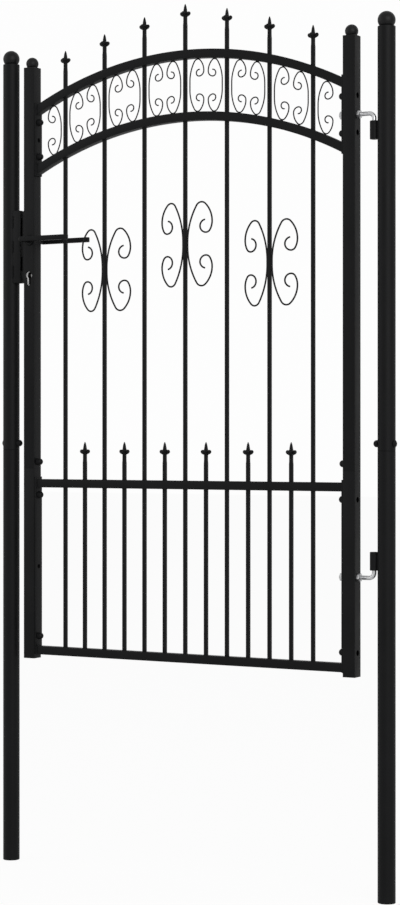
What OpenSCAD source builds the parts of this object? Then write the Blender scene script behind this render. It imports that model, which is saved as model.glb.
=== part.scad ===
// Single steel garden gate with an arched top, hung between two round posts.
// The origin is the centre of the hinge post's foot. +Z is up, the leaf reaches
// to -X when it is closed, and +Y is the far side, towards which the leaf opens.

/* [Posts] */
// Outer diameter of the round posts
post_d = 40; // [32:1:48]
// Wall of the post tubes
post_wall = 1.5; // [1.2:0.1:3]
// Height of the post tubes above their feet
post_h = 1940; // [1850:5:2100]
// Height at which the lower and upper post tubes meet
post_seam_h = 1000; // [900:5:1100]
// Length of the reduced end that plugs into the upper tube
spigot_l = 60; // [50:1:90]
// Gap between a spigot and the tube around it
spigot_gap = 0.3; // [0.1:0.1:0.6]
// Height of the joint bolt above its seam
joint_bolt_rise = 16; // [12:1:30]
// Diameter of the ball on a post cap
post_ball_d = 40; // [28:1:44]
// Height of the plug in a post's foot
foot_plug_h = 12; // [6:1:30]

/* [Leaf frame] */
// Width of the leaf over its two stiles
leaf_w = 892; // [850:1:950]
// Gap between the latch post and the leaf
latch_gap = 27; // [25:0.5:35]
// Gap between the hinge post and the leaf
hinge_gap = 51; // [48:0.5:60]
// Side of the square stile tubes
stile_w = 30; // [28:1:36]
// Wall of the stile tubes
stile_wall = 1.5; // [1.2:0.1:2.5]
// Height of the foot of the stiles
stile_foot_h = 495; // [440:5:520]
// Distance from the top of the posts down to the top of the stiles
stile_top_drop = 15; // [0:1:40]
// Distance from the middle rail up to the joint between the stile tubes
stile_seam_rise = 26; // [20:1:32]
// Diameter of the ball on a stile cap
stile_ball_d = 30; // [24:0.2:30]
// Side of the square rail tubes
rail_w = 20; // [16:1:25]
// Wall of the rail tubes
rail_wall = 1.5; // [1:0.1:2.5]
// Distance from the foot of the stiles up to the underside of the bottom rail
bottom_rail_rise = 10; // [0:1:30]
// Distance from the bottom rail up to the middle rail
rail_spacing = 404; // [380:1:420]

/* [Arch] */
// Distance from the top of the stiles up to the crown of the upper arch rail
arch_crown_rise = 6.5; // [0:0.5:20]
// Radius of the outer edge of the arch rails
arch_r = 920; // [850:5:1050]
// Drop from the upper arch rail to the lower one
arch_drop = 145; // [143:0.5:150]

/* [Flanges] */
// Thickness of the flat bars that end the panels
flange_t = 4; // [3:0.5:6]
// Depth of the flat bars
flange_w = 28; // [22:1:30]
// Distance from the top of the stiles down to the upper end of the arch flanges
arch_flange_drop = 85; // [78:1:90]
// Length of the arch flanges
arch_flange_l = 177; // [174:1:200]
// Length of the lower flanges above the middle rail
lower_flange_rise = 6; // [0:1:12]
// Distance of the bolts from the ends of an arch flange
arch_bolt_inset = 47; // [42:1:50]
// Distance of the bolts from the ends of a lower flange
lower_bolt_inset = 44; // [35:1:50]

/* [Bars] */
// Side of the square bars
bar_w = 8; // [6:0.5:10]
// Distance between two long bars
bar_pitch = 111.5; // [105:0.5:114]
// Heights of the tips of the long bars above the arch's crown, from the middle bar outwards
long_tip_rises = [108.5, 88.5, 58.5, 28.5];
// Height of the tips of the short bars above the middle rail
short_tip_rise = 90; // [70:1:120]
// Distance from the tip of a spear to its full bar
spear_l = 48; // [46:1:60]
// Height of a spear's point above its neck
point_l = 16; // [12:0.5:18]
// Distance from the tip of a spear to the middle of its knobs
knob_drop = 22.5; // [21:0.5:26]
// Distance over two opposite spear knobs
knob_span = 27.5; // [24:0.5:32]
// Diameter of a spear knob
knob_d = 9.5; // [7:0.5:10]
// Side of a spear's neck
neck_w = 7.2; // [5:0.1:7.8]

/* [Scrolls] */
// Diameter of the wire of the large scrolls
wing_wire_d = 4; // [3:0.5:5]
// Angle by which a large scroll is turned back from the plane of the leaf
wing_fold = 7; // [0:1:12]
// Distances from the arch's crown down to the large scrolls' middles, at the middle and side bars
wing_drops = [451.5, 502.5];
// Crown of a large scroll's wire, across and up from the middle of its back
wing_crown = [35.2, 97.5];
// Outermost point of a large scroll's wire, measured in the same way
wing_side = [61.9, 52.5];
// Lowest point of the curl of a large scroll, measured in the same way
wing_foot = [46.3, 26.5];
// Radius of the curl of a large scroll
wing_curl_r = 15; // [12:0.5:16]
// Diameter of the wire of the small scrolls
band_wire_d = 3; // [2.5:0.5:4]
// Crown of a small scroll's wire, across and up from the upper end of its back
band_crown = [21.5, 50.3];
// Outermost point of a small scroll's wire, measured in the same way
band_side = [37.3, 23];
// Radii of the arcs of a small scroll's curl, from the outermost point inwards
band_curl_rs = [12.5, 7.5, 8];
// Distance of the back of a small scroll from the middle of its bar
band_offset = 12.5; // [9:0.5:14]

/* [Hinges] */
// Distance from the middle of the hinge post to the hinge axis
hinge_reach = 30; // [28:0.5:34]
// Diameter of the hinge bolts and of their upright pins
pin_d = 10; // [8:1:12]
// Radial clearance of a pin in its barrel
pin_play = 0.08; // [0.04:0.01:0.1]
// Outer diameter of a barrel
barrel_d = 20; // [18:1:24]
// Length of a barrel
barrel_l = 41; // [34:1:50]
// Distance from a hinge bolt's axis to the near end of its barrel
barrel_drop = 17; // [17:0.5:24]
// Radius of the bend of a hinge bolt, at its middle line
bend_r = 12; // [9:0.5:15]
// Distance of a pin's end from the far end of its barrel
pin_short = 5; // [2:0.5:10]
// Distance from the lower end of the arch flange up to the upper hinge bolt
upper_hinge_rise = 87; // [80:1:94]
// Distance from the lower end of the lower flange up to the lower hinge bolt
lower_hinge_rise = 212.5; // [120:0.5:300]
// Height of a hinge nut
nut_h = 8; // [6:0.5:10]
// Width across the flats of a hinge nut
nut_af = 17; // [15:1:19]

/* [Lock] */
// Distance from the lower end of the arch flanges down to the spindle
spindle_drop = 155; // [150:1:163]
// Distance from the spindle down to the middle of the key cylinder's round
lock_spacing = 85; // [72:1:92]
// Distance from the spindle up to the middle of the latch bolt
latch_rise = 20; // [18:0.5:24]
// Height of the latch bolt
latch_h = 26; // [20:1:30]
// Thickness of the latch bolt
latch_t = 12; // [8:1:12]
// How far the latch bolt stands out of the faceplate
latch_out = 15; // [14:0.5:16]
// How far the lever draws the latch bolt back
latch_travel = 14; // [12:0.5:14]
// Thickness of the lock's faceplate
faceplate_t = 4; // [2:0.5:4]
// Height of the lock's faceplate
faceplate_l = 170; // [160:1:180]
// Thickness of the lock case
case_t = 20; // [16:1:24]
// Diameter of the round of the key cylinder's hole
euro_d = 17.5; // [17:0.1:18]
// Width of the slot of the key cylinder's hole
euro_slot = 10.5; // [10:0.1:11]
// Full height of the key cylinder's hole
euro_h = 33.5; // [33:0.1:34]
// Depth of the strike box from the latch post's nearest point
strike_reach = 15.5; // [14:0.5:16]
// Wall of the strike box
strike_wall = 2.5; // [2:0.5:3]
// Height of the strike box
strike_l = 175; // [170:1:190]
// Distance from the spindle down to the middle of the strike box and the faceplate
strike_drop = 14.5; // [10:0.5:18]
// Clearance around the latch bolt in the strike
strike_play = 5; // [3:0.5:6]

/* [Lever] */
// Length of a lever from the spindle to its end
lever_l = 132; // [115:1:140]
// Depth of a lever's arm
lever_t = 10; // [8:0.5:14]
// Height of a lever's arm
lever_h = 12; // [9:0.5:14]
// Distance from the leaf's middle plane to the middle of a lever's arm
lever_stand = 47; // [40:1:55]
// Diameter of a lever's neck
neck_d = 12.5; // [12:0.5:18]
// Radial clearance of a neck in its rose
neck_play = 0.08; // [0.04:0.01:0.1]
// Diameter of a rose
rose_d = 26; // [24:1:30]
// Thickness of a rose
rose_t = 3; // [2:0.5:5]
// Side of the square spindle
spindle_w = 8; // [7:1:9]

/* [Hidden] */

$fn = 48;
paint = "#26282b";
zinc = "#b9bcc0";
plastic = "#1c1d1f";
join = 0.01;

// Places along X
latch_post_x = -(post_d + hinge_gap + leaf_w + latch_gap);
hinge_side_x = -(post_d / 2 + hinge_gap);
latch_side_x = hinge_side_x - leaf_w;
hinge_stile_x = hinge_side_x - stile_w / 2;
latch_stile_x = latch_side_x + stile_w / 2;
leaf_x = (hinge_side_x + latch_side_x) / 2;
panel_w = leaf_w - 2 * stile_w;
rail_l = panel_w - 2 * flange_t;
hinge_axis_x = -hinge_reach;

// Places along Z
stile_top_h = post_h - stile_top_drop;
bottom_rail_h = stile_foot_h + bottom_rail_rise;
bottom_rail_top = bottom_rail_h + rail_w;
mid_rail_h = bottom_rail_h + rail_spacing;
mid_rail_top = mid_rail_h + rail_w;
stile_seam_h = mid_rail_top + stile_seam_rise;
arch_crown_h = stile_top_h + arch_crown_rise;
lower_flange_low = bottom_rail_h;
lower_flange_high = mid_rail_top + lower_flange_rise;
arch_flange_high = stile_top_h - arch_flange_drop;
arch_flange_low = arch_flange_high - arch_flange_l;
lower_bolts = [lower_flange_low + lower_bolt_inset, lower_flange_high - lower_bolt_inset];
arch_bolts = [arch_flange_low + arch_bolt_inset, arch_flange_high - arch_bolt_inset];
upper_hinge_h = arch_flange_low + upper_hinge_rise;
lower_hinge_h = lower_flange_low + lower_hinge_rise;
spindle_h = arch_flange_low - spindle_drop;
strike_mid_h = spindle_h - strike_drop;
strike_low = strike_mid_h - strike_l / 2;
latch_mid_h = spindle_h + latch_rise;
euro_mid_h = spindle_h - lock_spacing;
euro_low = euro_mid_h + euro_d / 2 - euro_h;
faceplate_low = strike_mid_h - faceplate_l / 2;

// Joint bolts
bolt_d = 8;
bolt_head_d = 18;
bolt_head_h = 4.5;
flange_bolt_d = 6;
cap_nut_d = 17;
cap_dome_h = 8;
cap_nut_top = 4;
bolt_end_gap = 1;
post_nut_h = 11.5;
flange_nut_h = 12;
stile_nut_h = 14.5;
hole_play = 0.25;
plug_gap = 0.1;

// ---------- shared shapes ----------

// A square tube along Z from z = 0, with the wall w
module square_tube(side, w, l) {
    linear_extrude(l)
        difference() {
            square(side, center = true);
            square(side - 2 * w, center = true);
        }
}

// A round bore along X through x = 0
module x_bore(d, l) {
    rotate([0, 90, 0])
        cylinder(d = d, h = l, center = true);
}

// A round bore along Y through y = 0
module y_bore(d, l) {
    rotate([90, 0, 0])
        cylinder(d = d, h = l, center = true);
}

// Half the outline of a dome that rises by dome_h to the height top, from its rim to its middle
function dome_outline(dome_d, dome_h, top) =
    let (ball_r = (dome_h * dome_h + dome_d * dome_d / 4) / (2 * dome_h), edge = asin(dome_d / 2 / ball_r))
    [for (k = [6 : -1 : 0]) ball_r * [sin(edge * k / 6), cos(edge * k / 6)] + [0, top - ball_r]];

// A bolt along X: its shank reaches from x = -l to x = 0, its domed head from there to +X
module domed_bolt(d, l, head_d, head_h) {
    rotate([0, 90, 0])
        rotate_extrude()
            polygon(concat([[0, -l], [d / 2, -l], [d / 2, 0]], dome_outline(head_d, head_h, head_h)));
}

// A bolt along X that ends at x = -l, with a tall domed nut of height h from x = 0 to +X
module capped_bolt(d, l, h) {
    rotate([0, 90, 0])
        rotate_extrude()
            polygon(concat(
                [[0, -l], [d / 2, -l], [d / 2, 0], [cap_nut_d / 2, 0]],
                dome_outline(cap_nut_d, cap_dome_h, h)
            ));
}

// A tall domed nut that rises to +X from x = 0, its bore blind
module cap_nut(h, bore_d) {
    rotate([0, 90, 0])
        rotate_extrude()
            polygon(concat(
                [[0, h - cap_nut_top], [bore_d / 2, h - cap_nut_top], [bore_d / 2, 0], [cap_nut_d / 2, 0]],
                dome_outline(cap_nut_d, cap_dome_h, h)
            ));
}

// A hexagon nut that rises to +X from x = 0
module hex_nut(af, h, hole_d) {
    difference() {
        rotate([0, 90, 0])
            cylinder(d = af / cos(30), h = h, $fn = 6);
        x_bore(hole_d, 3 * h);
    }
}

// A ball on a short neck, its round stub plugged into a tube below z = 0
module ball_cap(ball_d, plate_h, neck_d, neck_h, stub_d, stub_l) {
    ball_mid = plate_h + neck_h + sqrt(pow(ball_d, 2) - pow(neck_d, 2)) / 2;
    translate([0, 0, ball_mid])
        sphere(d = ball_d);
    translate([0, 0, -stub_l])
        cylinder(d = stub_d, h = stub_l);
    cylinder(d = neck_d, h = ball_mid);
}

// ---------- posts ----------

spigot_d = post_d - 2 * post_wall - 2 * spigot_gap;
post_plug_d = post_d - 2 * post_wall - 2 * plug_gap;
post_bolt_h = post_seam_h + joint_bolt_rise;

// Lower half of a post, with the reduced end that the upper half slides over
module post_lower() {
    color(paint)
        difference() {
            union() {
                cylinder(d = post_d, h = post_seam_h);
                cylinder(d = spigot_d, h = post_seam_h + spigot_l);
            }
            translate([0, 0, -1])
                cylinder(d = spigot_d - 2 * post_wall, h = post_seam_h + spigot_l + 2);
            translate([0, 0, -1])
                cylinder(d = post_d - 2 * post_wall, h = post_seam_h - spigot_l + 1);
            translate([0, 0, post_bolt_h])
                x_bore(bolt_d + 2 * hole_play, post_d + 2);
        }
}

module post_upper() {
    color(paint)
        difference() {
            translate([0, 0, post_seam_h])
                cylinder(d = post_d, h = post_h - post_seam_h);
            translate([0, 0, post_seam_h - 1])
                cylinder(d = post_d - 2 * post_wall, h = post_h - post_seam_h + 2);
            translate([0, 0, post_bolt_h])
                x_bore(bolt_d + 2 * hole_play, post_d + 2);
        }
}

module hinge_post_lower() {
    post_lower();
}

module hinge_post_upper() {
    post_upper();
}

module latch_post_lower() {
    translate([latch_post_x, 0, 0])
        post_lower();
}

module latch_post_upper() {
    translate([latch_post_x, 0, 0])
        post_upper();
}

module post_caps() {
    color(plastic)
        for (x = [0, latch_post_x])
            translate([x, 0, post_h])
                ball_cap(post_ball_d, 0, 29, 0, post_plug_d, 20);
}

module post_foot_plugs() {
    color(plastic)
        for (x = [0, latch_post_x])
            translate([x, 0, 0])
                cylinder(d = post_plug_d, h = foot_plug_h);
}

// A carriage bolt along +X: its head on the far side, a domed nut on the near side
module post_bolt() {
    translate([post_d / 2, 0, 0])
        domed_bolt(bolt_d, post_d + post_nut_h - cap_nut_top - bolt_end_gap, bolt_head_d, bolt_head_h);
    translate([-post_d / 2, 0, 0])
        mirror([1, 0, 0])
            cap_nut(post_nut_h, bolt_d + 2 * pin_play);
}

module post_bolts() {
    color(paint) {
        translate([0, 0, post_bolt_h])
            post_bolt();
        translate([latch_post_x, 0, post_bolt_h])
            mirror([1, 0, 0])
                post_bolt();
    }
}

// ---------- hinges ----------

barrel_bore = pin_d + 2 * pin_play;
pin_l = barrel_drop + barrel_l - pin_short - bend_r;

// A barrel from z = 0 up, welded to the side of the hinge post
module barrel() {
    color(paint)
        difference() {
            union() {
                translate([hinge_axis_x, 0, 0])
                    cylinder(d = barrel_d, h = barrel_l);
                translate([hinge_axis_x, -barrel_d / 4, 0])
                    cube([hinge_reach - post_d / 4, barrel_d / 2, barrel_l]);
            }
            translate([hinge_axis_x, 0, -1])
                cylinder(d = barrel_bore, h = barrel_l + 2);
            translate([0, 0, -1])
                cylinder(d = post_d, h = barrel_l + 2);
        }
}

module upper_hinge_barrel() {
    translate([0, 0, upper_hinge_h - barrel_drop - barrel_l])
        barrel();
}

module lower_hinge_barrel() {
    translate([0, 0, lower_hinge_h + barrel_drop])
        barrel();
}

rod_end_x = hinge_side_x - stile_w - flange_t - nut_h - 3;

// A threaded rod through the stile, bent down into a pin
module hinge_bolt() {
    color(zinc) {
        translate([rod_end_x, 0, 0])
            rotate([0, 90, 0])
                cylinder(d = pin_d, h = hinge_axis_x - bend_r - rod_end_x + join);
        translate([hinge_axis_x - bend_r, 0, -bend_r])
            rotate([90, 0, 0])
                rotate_extrude(angle = 90)
                    translate([bend_r, 0])
                        circle(d = pin_d);
        translate([hinge_axis_x, 0, -bend_r - pin_l])
            cylinder(d = pin_d, h = pin_l + join);
    }
}

module upper_hinge_bolt() {
    translate([0, 0, upper_hinge_h])
        hinge_bolt();
}

module lower_hinge_bolt() {
    translate([0, 0, lower_hinge_h])
        mirror([0, 0, 1])
            hinge_bolt();
}

module hinge_nuts() {
    color(zinc)
        for (z = [upper_hinge_h, lower_hinge_h])
            for (x = [hinge_side_x, hinge_side_x - stile_w - flange_t - nut_h])
                translate([x, 0, z])
                    hex_nut(nut_af, nut_h, pin_d + 2 * pin_play);
}

// ---------- leaf frame ----------

inner_w = stile_w - 2 * stile_wall;
stile_spigot_w = inner_w - 2 * spigot_gap;
stile_plug_w = inner_w - 2 * plug_gap;
stile_bolt_h = stile_seam_h + joint_bolt_rise;

// Holes through a stile for everything that is bolted to it, across its own middle
module stile_holes() {
    for (z = concat(lower_bolts, arch_bolts))
        translate([0, 0, z])
            x_bore(flange_bolt_d + 2 * hole_play, stile_w + 2);
    for (z = [upper_hinge_h, lower_hinge_h])
        translate([0, 0, z])
            x_bore(pin_d + 2 * hole_play, stile_w + 2);
    translate([0, 0, stile_bolt_h])
        x_bore(bolt_d + 2 * hole_play, stile_w + 2);
}

module stile_lower() {
    color(paint)
        difference() {
            union() {
                translate([0, 0, stile_foot_h])
                    square_tube(stile_w, stile_wall, stile_seam_h - stile_foot_h);
                translate([0, 0, stile_seam_h - spigot_l])
                    square_tube(inner_w, stile_wall + spigot_gap, spigot_l);
                translate([0, 0, stile_seam_h - join])
                    square_tube(stile_spigot_w, stile_wall, spigot_l);
            }
            stile_holes();
        }
}

module stile_upper() {
    color(paint)
        difference() {
            translate([0, 0, stile_seam_h])
                square_tube(stile_w, stile_wall, stile_top_h - stile_seam_h);
            stile_holes();
        }
}

module hinge_stile_lower() {
    translate([hinge_stile_x, 0, 0])
        stile_lower();
}

module hinge_stile_upper() {
    translate([hinge_stile_x, 0, 0])
        stile_upper();
}

module latch_stile_lower() {
    translate([latch_stile_x, 0, 0])
        stile_lower();
}

// The key cylinder's hole along Y: a round with a slot below it
module euro_hole(l) {
    translate([0, 0, euro_mid_h])
        y_bore(euro_d, l);
    translate([-euro_slot / 2, -l / 2, euro_low + euro_slot / 2])
        cube([euro_slot, l, euro_mid_h - euro_low - euro_slot / 2]);
    translate([0, 0, euro_low + euro_slot / 2])
        y_bore(euro_slot, l);
}

module latch_stile_upper() {
    color(paint)
        difference() {
            translate([latch_stile_x, 0, 0])
                stile_upper();
            translate([latch_stile_x, 0, 0])
                euro_hole(stile_w + 2);
            translate([latch_stile_x, 0, spindle_h])
                y_bore(neck_d + 4, stile_w + 2);
            translate([latch_side_x - 1, -case_t / 2, case_low])
                cube([stile_wall + 2, case_t, case_l]);
        }
}

module stile_caps() {
    color(plastic)
        for (x = [hinge_stile_x, latch_stile_x])
            translate([x, 0, stile_top_h]) {
                translate([-stile_w / 2, -stile_w / 2, 0])
                    cube([stile_w, stile_w, 2]);
                translate([-stile_plug_w / 2, -stile_plug_w / 2, -foot_plug_h])
                    cube([stile_plug_w, stile_plug_w, foot_plug_h + join]);
                ball_cap(stile_ball_d, 2, 23, 0.5, 18, 10);
            }
}

module stile_foot_plugs() {
    color(plastic)
        for (x = [hinge_stile_x, latch_stile_x])
            translate([x - stile_plug_w / 2, -stile_plug_w / 2, stile_foot_h])
                cube([stile_plug_w, stile_plug_w, foot_plug_h]);
}

// A straight rail between the flanges, with its underside at z = 0
module straight_rail() {
    translate([leaf_x - rail_l / 2, 0, rail_w / 2])
        rotate([0, 90, 0])
            square_tube(rail_w, rail_wall, rail_l);
}

// Square holes in the leaf's middle plane at each place in xs, from z0 up
module bar_holes(xs, z0, l) {
    for (x = xs)
        translate([leaf_x + x - bar_w / 2, -bar_w / 2, z0])
            cube([bar_w, bar_w, l]);
}

long_places = [for (i = [-3 : 3]) i * bar_pitch];
short_places = [for (i = [-2.5 : 2.5]) i * bar_pitch];

module bottom_rail() {
    color(paint)
        translate([0, 0, bottom_rail_h])
            straight_rail();
}

module mid_rail() {
    color(paint)
        difference() {
            translate([0, 0, mid_rail_h])
                straight_rail();
            bar_holes(short_places, mid_rail_h - 1, rail_w + 2);
            bar_holes(long_places, mid_rail_top - rail_wall, rail_wall + 1);
        }
}

// Height of the outer edge of the upper arch rail at a distance x from the middle
function arch_edge(x, r = arch_r) = arch_crown_h - arch_r + sqrt(r * r - x * x);

// A rail along an arch, its crown at z = 0, cut off at the flanges
module arch_rail() {
    tilt = asin((rail_l / 2 + rail_w) / arch_r);
    intersection() {
        translate([leaf_x, 0, -arch_r])
            rotate([90, 0, 0])
                rotate([0, 0, 90 - tilt])
                    rotate_extrude(angle = 2 * tilt, $fn = 360)
                        translate([arch_r - rail_w / 2, 0])
                            difference() {
                                square(rail_w, center = true);
                                square(rail_w - 2 * rail_wall, center = true);
                            }
        translate([leaf_x - rail_l / 2, -rail_w, -arch_r])
            cube([rail_l, 2 * rail_w, 2 * arch_r]);
    }
}

module upper_arch_rail() {
    color(paint)
        difference() {
            translate([0, 0, arch_crown_h])
                arch_rail();
            bar_holes(long_places, arch_flange_low, arch_crown_h - arch_flange_low + 1);
        }
}

module lower_arch_rail() {
    color(paint)
        difference() {
            translate([0, 0, arch_crown_h - arch_drop])
                arch_rail();
            bar_holes(long_places, mid_rail_top, arch_crown_h - mid_rail_top);
        }
}

// A flat bar from z0 to z1 on the inner face of the hinge stile
module flange(z0, z1, bolts, hinge_h) {
    color(paint)
        difference() {
            translate([hinge_side_x - stile_w - flange_t, -flange_w / 2, z0])
                cube([flange_t, flange_w, z1 - z0]);
            for (z = bolts)
                translate([hinge_side_x - stile_w, 0, z])
                    x_bore(flange_bolt_d + 2 * hole_play, 3 * flange_t);
            translate([hinge_side_x - stile_w, 0, hinge_h])
                x_bore(pin_d + 2 * hole_play, 3 * flange_t);
        }
}

// The same piece on the other side of the leaf
module mirror_leaf() {
    translate([leaf_x, 0, 0])
        mirror([1, 0, 0])
            translate([-leaf_x, 0, 0])
                children();
}

module hinge_lower_flange() {
    flange(lower_flange_low, lower_flange_high, lower_bolts, lower_hinge_h);
}

module latch_lower_flange() {
    mirror_leaf()
        hinge_lower_flange();
}

module hinge_arch_flange() {
    flange(arch_flange_low, arch_flange_high, arch_bolts, upper_hinge_h);
}

module latch_arch_flange() {
    mirror_leaf()
        hinge_arch_flange();
}

// A bolt across the hinge stile: domed nut on the inner side, end flush inside the outer wall
module frame_bolt(d, nut_h, seat) {
    translate([hinge_side_x - stile_w - seat, 0, 0])
        mirror([1, 0, 0])
            capped_bolt(d, stile_w + seat, nut_h);
}

module side_bolts() {
    for (z = concat(lower_bolts, arch_bolts))
        translate([0, 0, z])
            frame_bolt(flange_bolt_d, flange_nut_h, flange_t);
    translate([0, 0, stile_bolt_h])
        frame_bolt(bolt_d, stile_nut_h, 0);
}

module frame_bolts() {
    color(paint) {
        side_bolts();
        mirror_leaf()
            side_bolts();
    }
}

// ---------- bars ----------

neck_drop = 41;
knob_reach = (knob_span - knob_d) / 2;
arm_d = 0.6 * knob_d;

// A square taper along Z from z = 0, from the side w1 to the side w2
module square_taper(w1, w2, h) {
    rotate(45)
        cylinder(d1 = w1 * sqrt(2), d2 = w2 * sqrt(2), h = h, $fn = 4);
}

// A forged spear with its tip at z = 0: a point and a neck with four knobs on slanted arms
module spear() {
    translate([0, 0, -point_l])
        square_taper(neck_w, 0.6, point_l);
    translate([-neck_w / 2, -neck_w / 2, -neck_drop])
        cube([neck_w, neck_w, neck_drop - point_l]);
    translate([0, 0, -spear_l])
        square_taper(bar_w, neck_w, spear_l - neck_drop);
    for (a = [0 : 90 : 270])
        rotate(a) {
            translate([knob_reach, 0, -knob_drop])
                sphere(d = knob_d);
            translate([0, 0, -knob_drop - knob_reach])
                rotate([0, 45, 0])
                    cylinder(d = arm_d, h = knob_reach * sqrt(2));
        }
}

// A square bar from z0 up to its spear's tip at z1
module spear_bar(z0, z1) {
    color(paint) {
        translate([-bar_w / 2, -bar_w / 2, z0])
            cube([bar_w, bar_w, z1 - spear_l - z0 + join]);
        translate([0, 0, z1])
            spear();
    }
}

module long_bars() {
    for (i = [-3 : 3])
        translate([leaf_x + i * bar_pitch, 0, 0])
            spear_bar(mid_rail_top - rail_wall, arch_crown_h + long_tip_rises[abs(i)]);
}

module lower_bars() {
    color(paint)
        for (x = long_places)
            translate([leaf_x + x - bar_w / 2, -bar_w / 2, bottom_rail_top])
                cube([bar_w, bar_w, mid_rail_h - bottom_rail_top]);
}

module short_bars() {
    for (x = short_places)
        translate([leaf_x + x, 0, 0])
            spear_bar(bottom_rail_top, mid_rail_top + short_tip_rise);
}

// ---------- scrolls ----------

// Radii of the two arcs, the first turning by a, that turn a wire by a right angle
// while it goes along by p in its first direction and by q in its last one
function two_arcs(p, q, a) =
    let (c = cos(a), s = sin(a), k = 1 - c - s)
    [[(q * (1 - s) - c * p) / k, a], [((1 - c) * p - s * q) / k, 90 - a]];

// A wire in the XZ plane that starts at the origin towards +Z and turns to +X,
// as a list of arcs that each give a radius and a turn. A thin collar joins two arcs.
module wire(arcs, d) {
    if (len(arcs) > 0) {
        r = arcs[0][0];
        turn = arcs[0][1];
        short = collar_gap * 180 / (PI * r);
        translate([0, 0, -collar_l / 2])
            cylinder(d = d + collar_step, h = collar_l);
        translate([r, 0, 0])
            rotate([90, 0, 0])
                rotate([0, 0, 180 - turn + short])
                    rotate_extrude(angle = turn - 2 * short)
                        translate([r, 0])
                            circle(d = d);
        translate([r * (1 - cos(turn)), 0, r * sin(turn)])
            rotate([0, turn, 0])
                wire([for (i = [1 : 1 : len(arcs) - 1]) arcs[i]], d);
    }
}

// Points along such a wire, as pairs of x and z; h is the heading from +Z towards +X
function wire_points(arcs, x = 0, z = 0, h = 0) =
    len(arcs) == 0 ? [] :
    let (r = arcs[0][0], turn = arcs[0][1])
    concat(
        [for (k = [0 : 8]) let (a = h + turn * k / 8) [x + r * (cos(h) - cos(a)), z + r * (sin(a) - sin(h))]],
        wire_points(
            [for (i = [1 : 1 : len(arcs) - 1]) arcs[i]],
            x + r * (cos(h) - cos(h + turn)), z + r * (sin(h + turn) - sin(h)), h + turn
        )
    );

// A C-shaped scroll with its back at x = 0: the arcs run from the end of a straight
// back, back_l long, over the top and into the curl, and again downwards
module c_scroll(arcs, back_l, d) {
    translate([0, 0, collar_gap - back_l / 2])
        cylinder(d = d, h = back_l - 2 * collar_gap);
    for (m = [0, 1])
        mirror([0, 0, m])
            translate([0, 0, back_l / 2])
                wire(arcs, d);
}

weld_gap = 0.3;
collar_gap = 0.1;
collar_l = 0.8;
collar_step = 0.04;

wing_back_l = 2.5 * wing_wire_d;
wing_arcs = concat(
    two_arcs(wing_crown[1] - wing_back_l / 2, wing_crown[0], 30),
    two_arcs(wing_side[0] - wing_crown[0], wing_crown[1] - wing_side[1], 45),
    two_arcs(wing_side[1] - wing_foot[1], wing_side[0] - wing_foot[0], 30),
    [[wing_curl_r, 170]]
);
wing_seat = bar_w / 2 + wing_wire_d / 2 + weld_gap;

// Two large scrolls back to back on a bar, with the seams that hold them
module butterfly(i) {
    middle = arch_crown_h - wing_drops[abs(i - 2)];
    color(paint)
        translate([leaf_x + 2 * (i - 2) * bar_pitch, 0, middle])
            for (m = [0, 1])
                mirror([m, 0, 0])
                    translate([wing_seat, 0, 0])
                        rotate([0, 0, wing_fold])
                            c_scroll(wing_arcs, wing_back_l, wing_wire_d);
}

band_arcs = concat(
    two_arcs(band_crown[1], band_crown[0], 30),
    two_arcs(band_side[0] - band_crown[0], band_crown[1] - band_side[1], 45),
    [for (r = band_curl_rs) [r, r == band_curl_rs[2] ? 95 : 90]]
);
band_points = wire_points(band_arcs);
band_room = band_wire_d / 2 + weld_gap;

// The small scrolls on each side of the long bars at xs. The back of each one is as
// long as lets it reach from the lower arch rail to the upper one.
module band_scrolls(xs) {
    color(paint)
        for (x = xs)
            for (side = [-1, 1]) {
                back_x = x + side * band_offset;
                under = arch_r - rail_w - band_room;
                over = arch_r + band_room;
                top = min([for (p = band_points) arch_edge(back_x + side * p[0], under) - p[1]]);
                low = max([for (p = band_points) arch_edge(back_x + side * p[0], over) - arch_drop + p[1]]);
                translate([leaf_x + back_x, 0, (top + low) / 2])
                    mirror([side < 0 ? 1 : 0, 0, 0])
                        c_scroll(band_arcs, top - low, band_wire_d);
            }
}

module latch_side_scrolls() {
    band_scrolls([-3 * bar_pitch, -2 * bar_pitch]);
}

module middle_scrolls() {
    band_scrolls([-bar_pitch, 0, bar_pitch]);
}

module hinge_side_scrolls() {
    band_scrolls([2 * bar_pitch, 3 * bar_pitch]);
}

// ---------- lock ----------

case_low = euro_low - 10;
case_l = latch_mid_h + latch_h / 2 + 12 - case_low;
case_back_x = hinge_side_x - leaf_w + stile_w - stile_wall - 1;
latch_play = 0.3;
bolt_low = euro_mid_h + 16;
bolt_h = 26;

module lock_case() {
    color(zinc)
        difference() {
            union() {
                translate([latch_side_x, -case_t / 2 + join, case_low])
                    cube([case_back_x - latch_side_x, case_t - 2 * join, case_l]);
                translate([latch_side_x - faceplate_t, -latch_t / 2, bolt_low])
                    cube([faceplate_t + join, latch_t, bolt_h]);
            }
            translate([latch_stile_x, 0, 0])
                euro_hole(stile_w);
            translate([latch_stile_x, 0, spindle_h])
                y_bore(neck_d, stile_w);
            latch_pocket(latch_side_x - 1, latch_tail_x + latch_travel + 2);
        }
}

latch_tail_x = latch_side_x + 10;

// The room that the latch bolt slides in, from x0 to x1
module latch_pocket(x0, x1) {
    translate([x0, -latch_t / 2 - latch_play, latch_mid_h - latch_h / 2 - latch_play])
        cube([x1 - x0, latch_t + 2 * latch_play, latch_h + 2 * latch_play]);
}

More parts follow.
